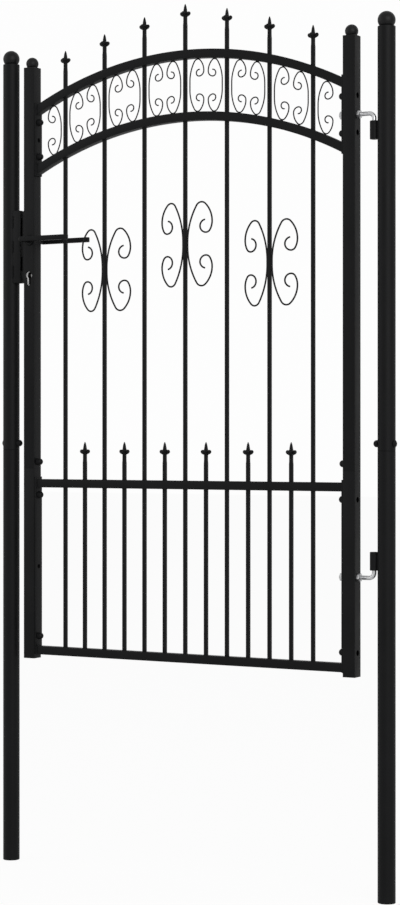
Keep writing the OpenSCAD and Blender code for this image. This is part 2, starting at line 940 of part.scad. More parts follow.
module lock_faceplate() {
    color(paint)
        difference() {
            translate([latch_side_x - faceplate_t, -flange_w / 2, faceplate_low])
                cube([faceplate_t, flange_w, faceplate_l]);
            latch_pocket(latch_side_x - faceplate_t - 1, latch_side_x + 1);
            translate([latch_side_x - faceplate_t - 1, -latch_t / 2 - latch_play, bolt_low - latch_play])
                cube([faceplate_t + 2, latch_t + 2 * latch_play, bolt_h + 2 * latch_play]);
        }
}

// The latch bolt, its nose bevelled on the side that meets the strike as the leaf closes
module latch_bolt() {
    nose_x = latch_side_x - faceplate_t - latch_out;
    color(zinc)
        translate([0, 0, latch_mid_h - latch_h / 2])
            linear_extrude(latch_h)
                polygon([
                    [latch_tail_x, -latch_t / 2],
                    [latch_tail_x, latch_t / 2],
                    [nose_x, latch_t / 2],
                    [nose_x, latch_t / 2 - 2],
                    [nose_x + latch_out - 2, -latch_t / 2]
                ]);
}

// The strike: a folded box on the latch post with a hole for each bolt
module strike_box() {
    face_x = latch_post_x + post_d / 2 + strike_reach;
    room_w = stile_w - 2 * strike_wall;
    hole_w = min(latch_t + 2 * strike_play, room_w);
    color(paint)
        difference() {
            translate([latch_post_x, -stile_w / 2, strike_low])
                cube([face_x - latch_post_x, stile_w, strike_l]);
            translate([latch_post_x, -room_w / 2, strike_low - 1])
                cube([face_x - strike_wall - latch_post_x, room_w, strike_l + 2]);
            translate([latch_post_x, 0, strike_low - 1])
                cylinder(d = post_d, h = strike_l + 2);
            translate([face_x - strike_wall - 1, -hole_w / 2, latch_mid_h - latch_h / 2 - strike_play])
                cube([strike_wall + 2, hole_w, latch_h + 2 * strike_play + 18]);
            translate([face_x - strike_wall - 1, -hole_w / 2, bolt_low - strike_play])
                cube([strike_wall + 2, hole_w, bolt_h + 2 * strike_play]);
        }
}

// ---------- lever ----------

module lever_roses() {
    color(paint)
        for (m = [0, 1])
            mirror([0, m, 0])
                translate([latch_stile_x, -stile_w / 2, spindle_h])
                    rotate([90, 0, 0])
                        difference() {
                            cylinder(d = rose_d, h = rose_t);
                            translate([0, 0, -1])
                                cylinder(d = neck_d + 2 * neck_play, h = rose_t + 2);
                        }
}

spindle_l = 2 * (lever_stand - lever_t / 2);

module lever_spindle() {
    color(zinc)
        translate([latch_stile_x - spindle_w / 2, -spindle_l / 2, spindle_h - spindle_w / 2])
            cube([spindle_w, spindle_l, spindle_w]);
}

// The front lever: a round neck in the rose and a straight arm
module lever() {
    neck_low = case_t / 2 + 0.5;
    color(paint)
        translate([latch_stile_x, 0, spindle_h]) {
            difference() {
                rotate([90, 0, 0])
                    translate([0, 0, neck_low])
                        cylinder(d = neck_d, h = lever_stand + lever_t / 2 - neck_low);
                translate([-spindle_w / 2, -spindle_l / 2, -spindle_w / 2])
                    cube([spindle_w, spindle_l, spindle_w]);
            }
            translate([neck_d / 4, -lever_stand - lever_t / 2, -lever_h / 2])
                cube([lever_l - neck_d / 4, lever_t, lever_h]);
        }
}

module front_lever() {
    lever();
}

module rear_lever() {
    mirror([0, 1, 0])
        lever();
}

// ---------- assembly ----------

hinge_post_lower();
hinge_post_upper();
latch_post_lower();
latch_post_upper();
post_caps();
post_foot_plugs();
post_bolts();
upper_hinge_barrel();
lower_hinge_barrel();
strike_box();
hinge_stile_lower();
hinge_stile_upper();
latch_stile_lower();
latch_stile_upper();
stile_caps();
stile_foot_plugs();
bottom_rail();
mid_rail();
upper_arch_rail();
lower_arch_rail();
hinge_lower_flange();
latch_lower_flange();
hinge_arch_flange();
latch_arch_flange();
long_bars();
lower_bars();
short_bars();
butterfly(1);  // butterfly_1
butterfly(2);  // butterfly_2
butterfly(3);  // butterfly_3
latch_side_scrolls();
middle_scrolls();
hinge_side_scrolls();
frame_bolts();
upper_hinge_bolt();
lower_hinge_bolt();
hinge_nuts();
lock_case();
lock_faceplate();
lever_roses();
latch_bolt();
lever_spindle();
front_lever();
rear_lever();
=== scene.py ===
"""A single steel garden gate with an arched top, hung between two round posts.

Lengths are metres, but for the (radius, height) pairs that outline() takes, which are
millimetres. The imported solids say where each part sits; here each part is made again
with rolled corners, chamfers, threads and welds, and painted or plated.
"""
from math import asin, cos, degrees, pi, radians, sin, sqrt, tan

import bmesh
import bpy
from mathutils import Matrix, Vector


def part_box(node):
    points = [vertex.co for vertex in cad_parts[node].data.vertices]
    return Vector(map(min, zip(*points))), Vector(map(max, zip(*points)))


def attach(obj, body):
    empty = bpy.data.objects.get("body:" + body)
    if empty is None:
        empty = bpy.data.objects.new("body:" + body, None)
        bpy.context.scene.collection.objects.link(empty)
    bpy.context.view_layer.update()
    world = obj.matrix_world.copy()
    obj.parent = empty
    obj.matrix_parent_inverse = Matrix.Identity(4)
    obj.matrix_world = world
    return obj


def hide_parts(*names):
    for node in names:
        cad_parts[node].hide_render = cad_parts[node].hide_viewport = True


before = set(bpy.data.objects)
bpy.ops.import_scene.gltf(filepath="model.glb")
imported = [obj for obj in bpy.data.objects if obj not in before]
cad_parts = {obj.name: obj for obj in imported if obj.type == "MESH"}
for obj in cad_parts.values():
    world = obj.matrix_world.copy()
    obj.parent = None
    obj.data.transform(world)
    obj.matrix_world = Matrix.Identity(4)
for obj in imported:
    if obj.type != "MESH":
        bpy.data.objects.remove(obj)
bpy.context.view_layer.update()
ops = bpy.ops
mm = 0.001
X, Y, Z = range(3)
QUARTER = pi / 2
ALONG = 0.9                 # how much of a direction lies along an axis that it follows
SAME = 1e-7                 # lengths that differ by less are the same


# ---------- the workbench ----------

def put_down():
    """Leaves edit mode and lets go of every piece."""
    if bpy.context.object and bpy.context.object.mode != "OBJECT":
        ops.object.mode_set(mode="OBJECT")
    ops.object.select_all(action="DESELECT")


def take(*pieces):
    """Holds these pieces, the first one as the active one."""
    put_down()
    for piece in pieces:
        piece.select_set(True)
    bpy.context.view_layer.objects.active = pieces[0]


def pick_all(piece, kind="VERT"):
    """Opens a piece with all of it picked, as verts, edges or faces."""
    take(piece)
    ops.object.mode_set(mode="EDIT")
    ops.mesh.select_mode(type=kind)
    ops.mesh.select_all(action="SELECT")


def pick(piece, kind, wanted):
    """Opens a piece with only the edges or faces picked that are wanted.

    wanted gets an edge's middle and its run, or a face's middle and its normal.
    """
    pick_all(piece, kind)
    ops.mesh.select_all(action="DESELECT")
    mesh = bmesh.from_edit_mesh(piece.data)
    if kind == "EDGE":
        for edge in mesh.edges:
            one, two = (vert.co for vert in edge.verts)
            if wanted((one + two) / 2, (two - one).normalized()):
                edge.select_set(True)
    else:
        for face in mesh.faces:
            if wanted(face.calc_center_median(), face.normal):
                face.select_set(True)
    mesh.select_flush_mode()
    bmesh.update_edit_mesh(piece.data)


def anywhere(mid, way):
    """Wants every edge."""
    return True


def along_x(mid, way):
    """Wants the edges that run along X, or the faces that look that way."""
    return abs(way.x) > ALONG


def along_z(mid, way):
    """Wants the edges that run along Z, or the faces that look that way."""
    return abs(way.z) > ALONG


def bring(thing):
    """Puts a new object into the scene."""
    bpy.context.scene.collection.objects.link(thing)
    return thing


def settle(name=None):
    """Names the piece at hand and puts its place, turn and size into its mesh."""
    piece = bpy.context.object
    if name:
        piece.name = name
    ops.object.transform_apply(location=True, rotation=True, scale=True)
    return piece


def block(name, low, high):
    """A block between two corners."""
    put_down()
    low, high = Vector(low), Vector(high)
    ops.mesh.primitive_cube_add(size=1, location=(low + high) / 2)
    bpy.context.object.scale = high - low
    return settle(name)


def slab(name, x, half, z):
    """A block between two places along X and two heights, its middle in the leaf's plane."""
    return block(name, (x[0], -half, z[0]), (x[1], half, z[1]))


def around(centre, reach):
    """The two ends that lie this far from a centre."""
    return centre - reach, centre + reach


def upright(name, x, half, foot, top):
    """A square block along Z about the middle at x."""
    return slab(name, around(x, half), half, (foot, top))


TURNS = {"X": (0, QUARTER, 0), "-X": (0, -QUARTER, 0), "Y": (-QUARTER, 0, 0), "-Y": (QUARTER, 0, 0),
         "Z": (0, 0, 0)}


def stand(piece, place, along="Z"):
    """Turns a piece that was made along +Z to another direction, then puts it in place."""
    take(piece)
    piece.rotation_euler = TURNS[along]
    piece.location = place
    return settle()


def rod(name, radius, start, length, along="Z", sides=32):
    """A plain round rod, for drilling and for what other parts hide."""
    put_down()
    ops.mesh.primitive_cylinder_add(vertices=sides, radius=radius, depth=length, location=(0, 0, length / 2))
    settle(name)
    return stand(bpy.context.object, start, along)


CUT = 20 * mm               # how far a drill reaches past the middle of what it goes through


def drill(radius, x, height, reach=CUT, sides=24):
    """A rod to drill with along X, its middle at x."""
    return rod("drill", radius, (x - reach, 0, height), 2 * reach, "X", sides)


def outward(piece):
    """Merges doubles and turns every face of a piece outwards."""
    pick_all(piece)
    ops.mesh.remove_doubles(threshold=0.002 * mm)
    ops.mesh.normals_make_consistent(inside=False)
    put_down()
    return piece


def ring(name, radius, sides, place=(0, 0, 0), slant=(0, 0, 0), filled=False):
    """A ring of edges, or a disc, with all of it picked so that it can be drawn out."""
    put_down()
    ops.mesh.primitive_circle_add(
        vertices=sides, radius=radius, location=place, rotation=slant,
        fill_type="NGON" if filled else "NOTHING")
    piece = settle(name)
    pick_all(piece, "FACE" if filled else "EDGE")
    return piece


def draw_out(x=0.0, z=0.0):
    """Extrudes what is picked along X and Z."""
    ops.mesh.extrude_region_move(TRANSFORM_OT_translate={"value": (x, 0, z)})


def outline(*pairs, level=0.0):
    """A lathe profile from (radius, height) pairs in millimetres, raised to a level."""
    return [(radius * mm, level + height * mm) for radius, height in pairs]


def turned(name, profile, place=(0, 0, 0), along="Z", sides=48, hollow=False, slant=0.0):
    """A lathe shape from its profile. A hollow one's profile closes on itself."""
    radius, height = profile[0]
    piece = ring(name, radius, sides, (0, 0, height), (0, 0, slant), filled=not hollow)
    for (radius, height), (next_radius, next_height) in zip(profile, profile[1:] + profile[:1] * hollow):
        draw_out(z=next_height - height)
        if abs(next_radius - radius) > SAME:
            grow = next_radius / radius
            ops.transform.resize(value=(grow, grow, 1), center_override=(0, 0, next_height))
    outward(piece)
    return stand(piece, place, along)


def round_edges(piece, wanted, width, segments=3):
    """Rounds the wanted edges."""
    pick(piece, "EDGE", wanted)
    ops.mesh.bevel(offset=width, segments=segments, affect="EDGES")
    put_down()
    return piece


def use_tool(piece, kind, **settings):
    """Runs one modifier over a piece and applies it."""
    take(piece)
    tool = piece.modifiers.new(kind.lower(), kind)
    for setting, value in settings.items():
        setattr(tool, setting, value)
    ops.object.modifier_apply(modifier=tool.name)
    return piece


def ease(piece, width, segments=2, angle=40):
    """Breaks every edge of a piece that is sharper than an angle in degrees."""
    return use_tool(
        piece, "BEVEL", width=width, segments=segments, limit_method="ANGLE",
        angle_limit=radians(angle), miter_outer="MITER_ARC")


def spare(*pieces):
    """Throws pieces away that were patterns or cutters."""
    for piece in pieces:
        bpy.data.objects.remove(piece)


def cut(piece, *others, operation="DIFFERENCE"):
    """Cuts a piece with others, or fuses or meets it with them. The others are used up."""
    for other in others:
        use_tool(piece, "BOOLEAN", operation=operation, object=other, solver="EXACT")
        spare(other)
    return piece


def another(piece, shift=(0, 0, 0), turn=None, name=None):
    """A copy of a piece with a mesh of its own, turned about the origin and then shifted."""
    copy = bring(piece.copy())
    copy.data = piece.data.copy()
    place = Matrix.Translation(shift)
    copy.data.transform(place @ turn if turn else place)
    if name:
        copy.name = name
    return copy


def flipped(piece, axis, shift=(0, 0, 0), name=None):
    """A mirror image of a piece, flipped at the origin along one axis and then shifted."""
    copy = another(piece, name=name)
    take(copy)
    copy.scale[axis] = -1
    copy.location = shift
    settle()
    return outward(copy)


def joined(name, pieces):
    """Makes one piece of several."""
    take(*pieces)
    ops.object.join()
    bpy.context.object.name = name
    return bpy.context.object


# ---------- finishes ----------

class Tone:
    """A value in a finish's nodes that is reckoned with like a number."""

    def __init__(self, tree, socket=None):
        self.tree = tree
        self.socket = socket

    def node(self, kind, settings=(), out=0, **sockets):
        """Adds a node: its settings first, then its sockets, as values or links."""
        made = self.tree.nodes.new("ShaderNode" + kind)
        for setting, value in dict(settings).items():
            if setting == "stops":
                ramp = made.color_ramp.elements
                while len(ramp) < len(value):
                    ramp.new(0.5)
                for stop, (position, colour) in zip(ramp, value):
                    stop.position = position
                    stop.color = (*colour, 1)
            else:
                setattr(made, setting, value)
        for name, value in sockets.items():
            socket = made.inputs[int(name[3:]) if name.startswith("in_") else name.replace("_", " ")]
            if isinstance(value, Tone):
                self.tree.links.new(value.socket, socket)
            else:
                socket.default_value = value
        return Tone(self.tree, made.outputs[out] if made.outputs else None)

    def reckon(self, operation, one, two=0.0):
        """Adds a Math node."""
        return self.node("Math", {"operation": operation}, in_0=one, in_1=two)

    def __add__(self, other):
        return self.reckon("ADD", self, other)

    def __mul__(self, other):
        return self.reckon("MULTIPLY", self, other)

    __radd__ = __add__
    __rmul__ = __mul__

    def place(self, stretch=None):
        """The place on the piece, stretched if need be."""
        here = self.node("TexCoord", out=3)
        return self.node("Mapping", Vector=here, Scale=stretch) if stretch else here

    def noise(self, size, detail, roughness, stretch=None):
        """Cloudy noise with grains about this size."""
        return self.node(
            "TexNoise", Vector=self.place(stretch), Scale=1 / size, Detail=detail, Roughness=roughness)

    def between(self, low, high):
        """Spreads a noise from a low value to a high one."""
        return self.node(
            "MapRange", {"clamp": True}, Value=self, From_Min=0.3, From_Max=0.7, To_Min=low, To_Max=high)

    def colours(self, *stops):
        """Turns a value into colour by (value, colour) stops."""
        return self.node("ValToRGB", {"stops": stops}, Fac=self)

    def bump(self, strength, depth):
        """The normals of a skin that rises and falls with this value."""
        return self.node("Bump", Strength=strength, Distance=depth, Height=self)


def finish(name, **settings):
    """A new material whose shader has these settings, and the tools to add nodes to it."""
    made = bpy.data.materials.new(name)
    made.use_nodes = True
    shader = made.node_tree.nodes["Principled BSDF"]
    for setting, value in settings.items():
        shader.inputs[setting.replace("_", " ")].default_value = value
    return made, Tone(made.node_tree)


def feed(made, **sockets):
    """Leads nodes into a finish's shader."""
    shader = made.node_tree.nodes["Principled BSDF"]
    for name, tone in sockets.items():
        tone.tree.links.new(tone.socket, shader.inputs[name.replace("_", " ")])
    return made


PAINT_GLOSS = 0.09
PLASTIC_GLOSS = 0.14


def satin_black():
    """Powder coat: a satin skin with a fine orange peel, a little cloudier in places."""
    paint, tone = finish("satin_black_powder_coat", Specular_IOR_Level=PAINT_GLOSS)
    peel = tone.noise(1.6 * mm, 2.0, 0.5)
    sag = tone.noise(11 * mm, 2.0, 0.45)
    cloud = tone.noise(90 * mm, 3.0, 0.55)
    speck = tone.noise(0.45 * mm, 1.0, 0.4)
    return feed(
        paint,
        Base_Color=(cloud * 0.7 + speck * 0.3).colours(
            (0.34, (0.0031, 0.0032, 0.0034)), (0.52, (0.0040, 0.0041, 0.0044)),
            (0.70, (0.0056, 0.0057, 0.0061))),
        Roughness=cloud.between(0.46, 0.56) + peel.between(-0.03, 0.03),
        Normal=(peel + 2.5 * sag).bump(0.22, 0.06 * mm),
    )


def weld_black():
    """The same paint over weld metal, with fine ripples under it."""
    paint, tone = finish("painted_weld", Specular_IOR_Level=PAINT_GLOSS)
    ripple = tone.noise(1.1 * mm, 3.0, 0.6)
    cloud = tone.noise(14 * mm, 2.0, 0.5)
    return feed(
        paint,
        Base_Color=cloud.colours((0.3, (0.0030, 0.0030, 0.0033)), (0.7, (0.0058, 0.0058, 0.0062))),
        Roughness=ripple.between(0.44, 0.58),
        Normal=ripple.bump(0.5, 0.15 * mm),
    )


def bright_zinc(name, low, high, stretch=None):
    """Zinc plating: bluish silver with a faint yellow bloom and a fine grain, low to high in roughness."""
    plate, tone = finish(name, Metallic=1.0)
    bloom = tone.noise(7 * mm, 3.0, 0.6)
    grain = tone.noise(0.9 * mm, 2.0, 0.6, stretch)
    spangle = tone.noise(2.5 * mm, 2.0, 0.5)
    return feed(
        plate,
        Base_Color=(bloom * 0.65 + spangle * 0.35).colours(
            (0.32, (0.30, 0.30, 0.30)), (0.48, (0.45, 0.455, 0.465)), (0.60, (0.52, 0.52, 0.52)),
            (0.74, (0.54, 0.52, 0.47))),
        Roughness=grain.between(low, high),
        Normal=(grain + spangle).bump(0.25, 0.05 * mm),
    )


PAINTED_SHADE_REACH = 7.2 * mm       # how far from the leaf's plane the painted shade deep in the lock's case reaches


def cast_zinc():
    """Pale grey pickled zinc of the lock's case, with darker clouds, and a near-black painted shade deep
    inside the hollow.
    """
    cast, tone = finish("pale_zinc_case", Metallic=0.15)
    cloud = tone.noise(12 * mm, 3.0, 0.6)
    grain = tone.noise(0.7 * mm, 2.0, 0.6)
    pale = (cloud * 0.7 + grain * 0.3).colours(
        (0.32, (0.80, 0.80, 0.81)), (0.50, (0.87, 0.87, 0.87)), (0.68, (0.92, 0.92, 0.91)))
    # Near the leaf's plane, deep inside the case, the colour turns near-black: painted shade for the dark
    # hollow behind the key hole.
    depth = tone.node("SeparateXYZ", out=Y, Vector=tone.place())
    deep_shade = tone.reckon("LESS_THAN", tone.reckon("ABSOLUTE", depth), PAINTED_SHADE_REACH)
    shade_colour = (0.012, 0.011, 0.010, 1)
    return feed(
        cast,
        Base_Color=tone.node("Mix", {"data_type": "RGBA"}, 2, in_0=deep_shade, in_6=pale, in_7=shade_colour),
        Roughness=grain.between(0.42, 0.58),
        Normal=(grain + cloud).bump(0.25, 0.05 * mm),
    )


def moulded_black():
    """Black moulded plastic with a fine etched grain."""
    plastic, tone = finish("moulded_black_plastic", Specular_IOR_Level=PLASTIC_GLOSS)
    etched = tone.noise(0.5 * mm, 2.0, 0.55)
    flow = tone.noise(25 * mm, 2.0, 0.5)
    return feed(
        plastic,
        Base_Color=flow.colours((0.3, (0.0032, 0.0032, 0.0034)), (0.7, (0.0062, 0.0062, 0.0066))),
        Roughness=flow.between(0.42, 0.5) + etched.between(-0.04, 0.04),
        Normal=etched.bump(0.3, 0.04 * mm),
    )


PAINT = satin_black()
WELD = weld_black()
ZINC = bright_zinc("bright_zinc_plating", 0.30, 0.44)
DRAWN_ZINC = bright_zinc("drawn_zinc_rod", 0.26, 0.38, (0.15, 1, 1))
CAST_ZINC = cast_zinc()
PLASTIC = moulded_black()


def fit(piece, *nodes, coat=PAINT, body="leaf", smooth=38):
    """Paints or plates a finished piece, and gives it its place among the moving bodies."""
    take(piece)
    ops.object.shade_smooth_by_angle(angle=radians(smooth))
    piece.data.materials.clear()
    piece.data.materials.append(coat)
    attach(piece, body)
    if nodes:
        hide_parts(*nodes)
    put_down()


# ---------- shared small parts ----------

TIP = 0.4                   # the radius in millimetres at which a dome closes
NUT_SIDES = 40


def dome(width, rise, steps=6):
    """The pairs of a domed head that sits at height 0."""
    ball_r = (rise ** 2 + width ** 2 / 4) / (2 * rise)
    edge = asin(width / 2 / ball_r)
    turns = [edge * k / steps for k in range(steps - 1, 0, -1)]
    rim = [(width / 2 - 0.3, 0), (width / 2, 0.3)]
    return rim + [(ball_r * sin(t), ball_r * cos(t) + rise - ball_r) for t in turns] + [(TIP, rise)]


def cap_nut(height):
    """A tall domed nut along +Z from 0, this many millimetres high, on a thin round flange."""
    wall, top = 8.1, 8
    pairs = [(2, 0), (8.2, 0), (8.5, 0.3), (8.5, 1.3), (8.2, 1.6), (wall, height - top)]
    pairs += [(wall * cos(k / 4), height - top + top * sin(k / 4)) for k in range(1, 7)]
    return turned("cap_nut", outline(*pairs), sides=NUT_SIDES)


def nut(name, flats, height, bore):
    """A hexagon nut along +Z from 0, with both faces chamfered at 30 degrees."""
    put_down()
    corner = flats / sqrt(3)
    ops.mesh.primitive_cylinder_add(vertices=6, radius=corner, depth=height, location=(0, 0, height / 2))
    hexagon = settle(name)
    face, past = flats / 2 * 0.97, corner + 0.05 * mm
    rise = (corner - face) * tan(radians(30))
    cone = turned("chamfer", [(face, 0), (past, rise), (past, height - rise), (face, height)], sides=60)
    cut(hexagon, cone, operation="INTERSECT")
    cut(hexagon, rod("bore", bore / 2, (0, 0, -height), 3 * height))
    return ease(hexagon, 0.25 * mm, 1, 25)


def thread(name, d, pitch, length, sides=28):
    """A thread along +Z from 0: one V drawn up and round with the screw tool."""
    put_down()
    root, crest_h = d / 2 - 0.61 * pitch, 0.46 * pitch
    ops.mesh.primitive_circle_add(vertices=3, radius=pitch / 2)
    piece = settle(name)
    pick_all(piece)
    mesh = bmesh.from_edit_mesh(piece.data)
    for vert, (r, z) in zip(mesh.verts, [(root, 0), (d / 2, crest_h), (root, pitch)]):
        vert.co = (r, 0, z)
        vert.select_set(False)
    for edge in list(mesh.edges):
        if abs(edge.verts[0].co.x - edge.verts[1].co.x) < SAME:
            mesh.edges.remove(edge)
    bmesh.update_edit_mesh(piece.data)
    use_tool(
        piece, "SCREW", angle=4 * QUARTER, screw_offset=pitch, iterations=int(length / pitch), steps=sides,
        render_steps=sides, use_merge_vertices=True, merge_threshold=0.005 * mm, use_normal_calculate=True)
    return outward(piece)


def drop(width, height):
    """One drop of weld metal, the pattern that a run of weld is made of."""
    put_down()
    ops.mesh.primitive_uv_sphere_add(segments=8, ring_count=5, radius=width / 2)
    piece = settle("weld_drop")
    pick_all(piece)
    ops.transform.resize(value=(1, 1, height), center_override=(0, 0, 0))
    put_down()
    return piece


def weld_run(pattern, start, end, up, step):
    """Overlapping drops from start to end on a face that looks to up.

    Two waves make their widths uneven and a third turns them to and fro.
    """
    start, end, up = Vector(start), Vector(end), Vector(up).normalized()
    along = (end - start).normalized()
    across = up.cross(along).normalized()
    facing = Matrix((along, across, up)).transposed().to_4x4()
    count = max(2, int((end - start).length / step) + 1)
    run = []
    for k in range(count):
        swell = 1 + 0.09 * sin(2.4 * k + 31 * start.x) + 0.05 * sin(5.1 * k + 17 * start.z)
        lean = Matrix.Rotation(0.25 * sin(1.7 * k), 4, "Z")
        size = Matrix.Diagonal((1.0, swell, swell, 1))
        run.append(another(pattern, start.lerp(end, k / (count - 1)), facing @ lean @ size))
    return run


def twin_runs(pattern, start, end, up, step):
    """The same run of weld on both sides of the leaf's plane."""
    runs = []
    for face in (-1, 1):
        runs += weld_run(pattern, *((x, face * y, z) for x, y, z in (start, end, up)), step)
    return runs


def middle(node):
    """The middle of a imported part's box."""
    low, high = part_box(node)
    return (low + high) / 2


def heights(node):
    """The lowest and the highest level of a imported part."""
    return [corner.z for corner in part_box(node)]


# ---------- posts ----------

POST_R = 20 * mm
JOINT_HOLE = 4.25 * mm      # the radius of the holes for the bolts of the tubes' joints
HINGE_POST_X = middle("hinge_post_upper").x
LATCH_POST_X = middle("latch_post_upper").x
POST_SEAM, POST_TOP = heights("hinge_post_upper")
POST_BOLT_H = middle("post_bolts").z

# In millimetres: a post tube's radius and bore, the radius and bore of the spigot at its
# joint, and how far the spigot reaches each way.
TUBE, BORE, SPIGOT, SPIGOT_BORE, REACH = 20, 18.5, 18.2, 16.7, 60


def post_tube(node, x, profile):
    """One length of post tube with the hole for its joint bolt."""
    tube = turned(node + "_tube", profile, (x, 0, 0), sides=80, hollow=True)
    cut(tube, drill(JOINT_HOLE, x, POST_BOLT_H, 30 * mm, 32))
    fit(tube, node, body="posts")


for post, x in (("hinge_post", HINGE_POST_X), ("latch_post", LATCH_POST_X)):
    joint = outline(
        (TUBE, -0.6), (TUBE - 0.6, 0), (SPIGOT, 0.02), (SPIGOT, REACH - 0.6), (SPIGOT - 0.5, REACH),
        (SPIGOT_BORE, REACH), (SPIGOT_BORE, -REACH), (BORE, -REACH - 0.02), level=POST_SEAM)
    foot = outline((TUBE - 0.4, 0), (TUBE, 0.4))
    top = outline((TUBE, -0.6), (TUBE - 0.5, 0), (BORE, 0), level=POST_TOP)
    post_tube(post + "_lower", x, foot + joint + outline((BORE, 0)))
    post_tube(post + "_upper", x, outline((BORE, 0), (TUBE - 0.6, 0), (TUBE, 0.6), level=POST_SEAM) + top)


def ball(width, neck, lift, steps=18):
    """The pairs of a ball above its neck, from the neck's foot at lift to the ball's top."""
    r = width / 2
    centre = lift + sqrt(width ** 2 - neck ** 2) / 2
    first = asin(neck / width)
    turns = [first + (pi - first) * k / steps for k in range(steps + 1)]
    return [(max(r * sin(t), 0.35), centre - r * cos(t)) for t in turns]


def post_cap(x):
    """A ball as wide as the post, its stub ribbed to grip the tube."""
    stub, rib = 17.7, 18.4
    ribs = [pair for top in (-16, -12, -8, -4) for pair in ((stub, top - 2.2), (rib, top - 1.4), (rib, top))]
    pairs = [(16.8, -20)] + ribs + [(rib, -0.5), (18.0, 0), (14.8, 0)] + ball(40, 29, 0.1)
    return turned("post_cap", outline(*pairs), (x, 0, POST_TOP), sides=64)


caps = [post_cap(x) for x in (HINGE_POST_X, LATCH_POST_X)]
fit(joined("post_ball_caps", caps), "post_caps", coat=PLASTIC, body="posts", smooth=50)


def carriage_bolt():
    """The bolt of a tube joint along +X from a tube's middle, with its nut on the far side."""
    r, length, point = 4, 46, 0.7
    shank = [(r - point, -length), (r, point - length), (r, 0)]
    bolt = turned("bolt", outline(*shank, *dome(18, 4.5)), (POST_R, 0, 0), "X", sides=NUT_SIDES)
    holder = stand(cap_nut(11.5), (-POST_R, 0, 0), "-X")
    return joined("carriage_bolt", [bolt, holder])


pattern = carriage_bolt()
near = another(pattern, (HINGE_POST_X, 0, POST_BOLT_H))
far = flipped(pattern, X, (LATCH_POST_X, 0, POST_BOLT_H))
spare(pattern)
fit(joined("post_joint_bolts", [near, far]), "post_bolts", body="posts", smooth=45)


# ---------- hinges ----------

BARREL_R = 10 * mm
PIN_R = 5 * mm
THREAD_PITCH = 1.5 * mm
UPPER_BOLT_H = heights("upper_hinge_bolt")[1] - PIN_R
LOWER_BOLT_H = heights("lower_hinge_bolt")[0] + PIN_R
PIN_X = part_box("upper_hinge_bolt")[1].x - PIN_R
PIN_END = heights("upper_hinge_bolt")[0] - UPPER_BOLT_H
THREAD_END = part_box("upper_hinge_bolt")[0].x
SPIN_ROUND = (0, -1, 0)     # spun about this, what heads for +Z turns to +X, and +X to -Z


def barrel(node):
    """A hinge barrel, which is a thick tube with chamfered ends, and the welds on its post."""
    low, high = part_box(node)
    x = low.x + BARREL_R
    profile = outline((9.2, 0), (10, 0.8), level=low.z)
    profile += outline((10, -0.8), (9.2, 0), (5.9, 0), (5.08, -0.8), level=high.z)
    profile += outline((5.08, 0.8), (5.9, 0), level=low.z)
    fit(turned(node + "_tube", profile, (x, 0, 0), sides=56, hollow=True), node, body="posts")
    bead = drop(3.8 * mm, 0.62)
    back, side = x + 9.7 * mm, 4.2 * mm
    runs = twin_runs(bead, (back, side, low.z + 2 * mm), (back, side, high.z - 2 * mm), (0, 1, 0), 1.6 * mm)
    spare(bead)
    return runs


post_welds = barrel("upper_hinge_barrel") + barrel("lower_hinge_barrel")


def hinge_bolt():
    """A hinge bolt seen from its bend: threaded along -X, bent down into a plain pin."""
    bend, point = 12 * mm, 0.9 * mm
    plain = PIN_X - 27 * mm
    bolt = ring("hinge_bolt", PIN_R, 32, (plain, 0, 0), (0, QUARTER, 0))
    draw_out(x=PIN_X - bend - plain)
    ops.mesh.spin(steps=14, angle=QUARTER, center=(PIN_X - bend, 0, -bend), axis=SPIN_ROUND)
    draw_out(z=PIN_END + bend + point)
    draw_out(z=-point)
    ops.transform.resize(value=(0.82, 0.82, 1), center_override=(PIN_X, 0, PIN_END))
    ops.mesh.edge_face_add()
    outward(bolt)
    threaded = plain - THREAD_END
    profile = outline((3.6, 0), (4.12, 0.5)) + outline((4.12, -0.8), (5, 0), level=threaded)
    core = turned("core", profile, (THREAD_END, 0, 0), "X", sides=32)
    screwed = thread("hinge_thread", 2 * PIN_R, THREAD_PITCH, threaded - 1.2 * mm)
    stand(screwed, (THREAD_END + 0.4 * mm, 0, 0), "X")
    return joined("hinge_bolt", [bolt, core, screwed])


pattern = hinge_bolt()
upper = another(pattern, (0, 0, UPPER_BOLT_H), name="upper_hinge_bolt_rod")
fit(upper, "upper_hinge_bolt", coat=DRAWN_ZINC, smooth=50)
lower = flipped(pattern, Z, (0, 0, LOWER_BOLT_H), "lower_hinge_bolt_rod")
fit(lower, "lower_hinge_bolt", coat=DRAWN_ZINC, smooth=50)
spare(pattern)

STILE_OUT_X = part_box("hinge_stile_upper")[1].x
FLANGE_IN_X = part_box("hinge_arch_flange")[0].x
pattern = nut("hinge_nut", 17 * mm, 8 * mm, 10.1 * mm)
nuts = []
for height in (UPPER_BOLT_H, LOWER_BOLT_H):
    for x, way, screwed_on in ((STILE_OUT_X, 1, 0.25), (FLANGE_IN_X, -1, 0.1)):
        facing = Matrix.Rotation(way * QUARTER, 4, "Y") @ Matrix.Rotation(screwed_on, 4, "Z")
        nuts.append(another(pattern, (x, 0, height), facing))
spare(pattern)
fit(joined("hinge_bolt_nuts", nuts), "hinge_nuts", coat=ZINC, smooth=30)


# ---------- the leaf's frame ----------

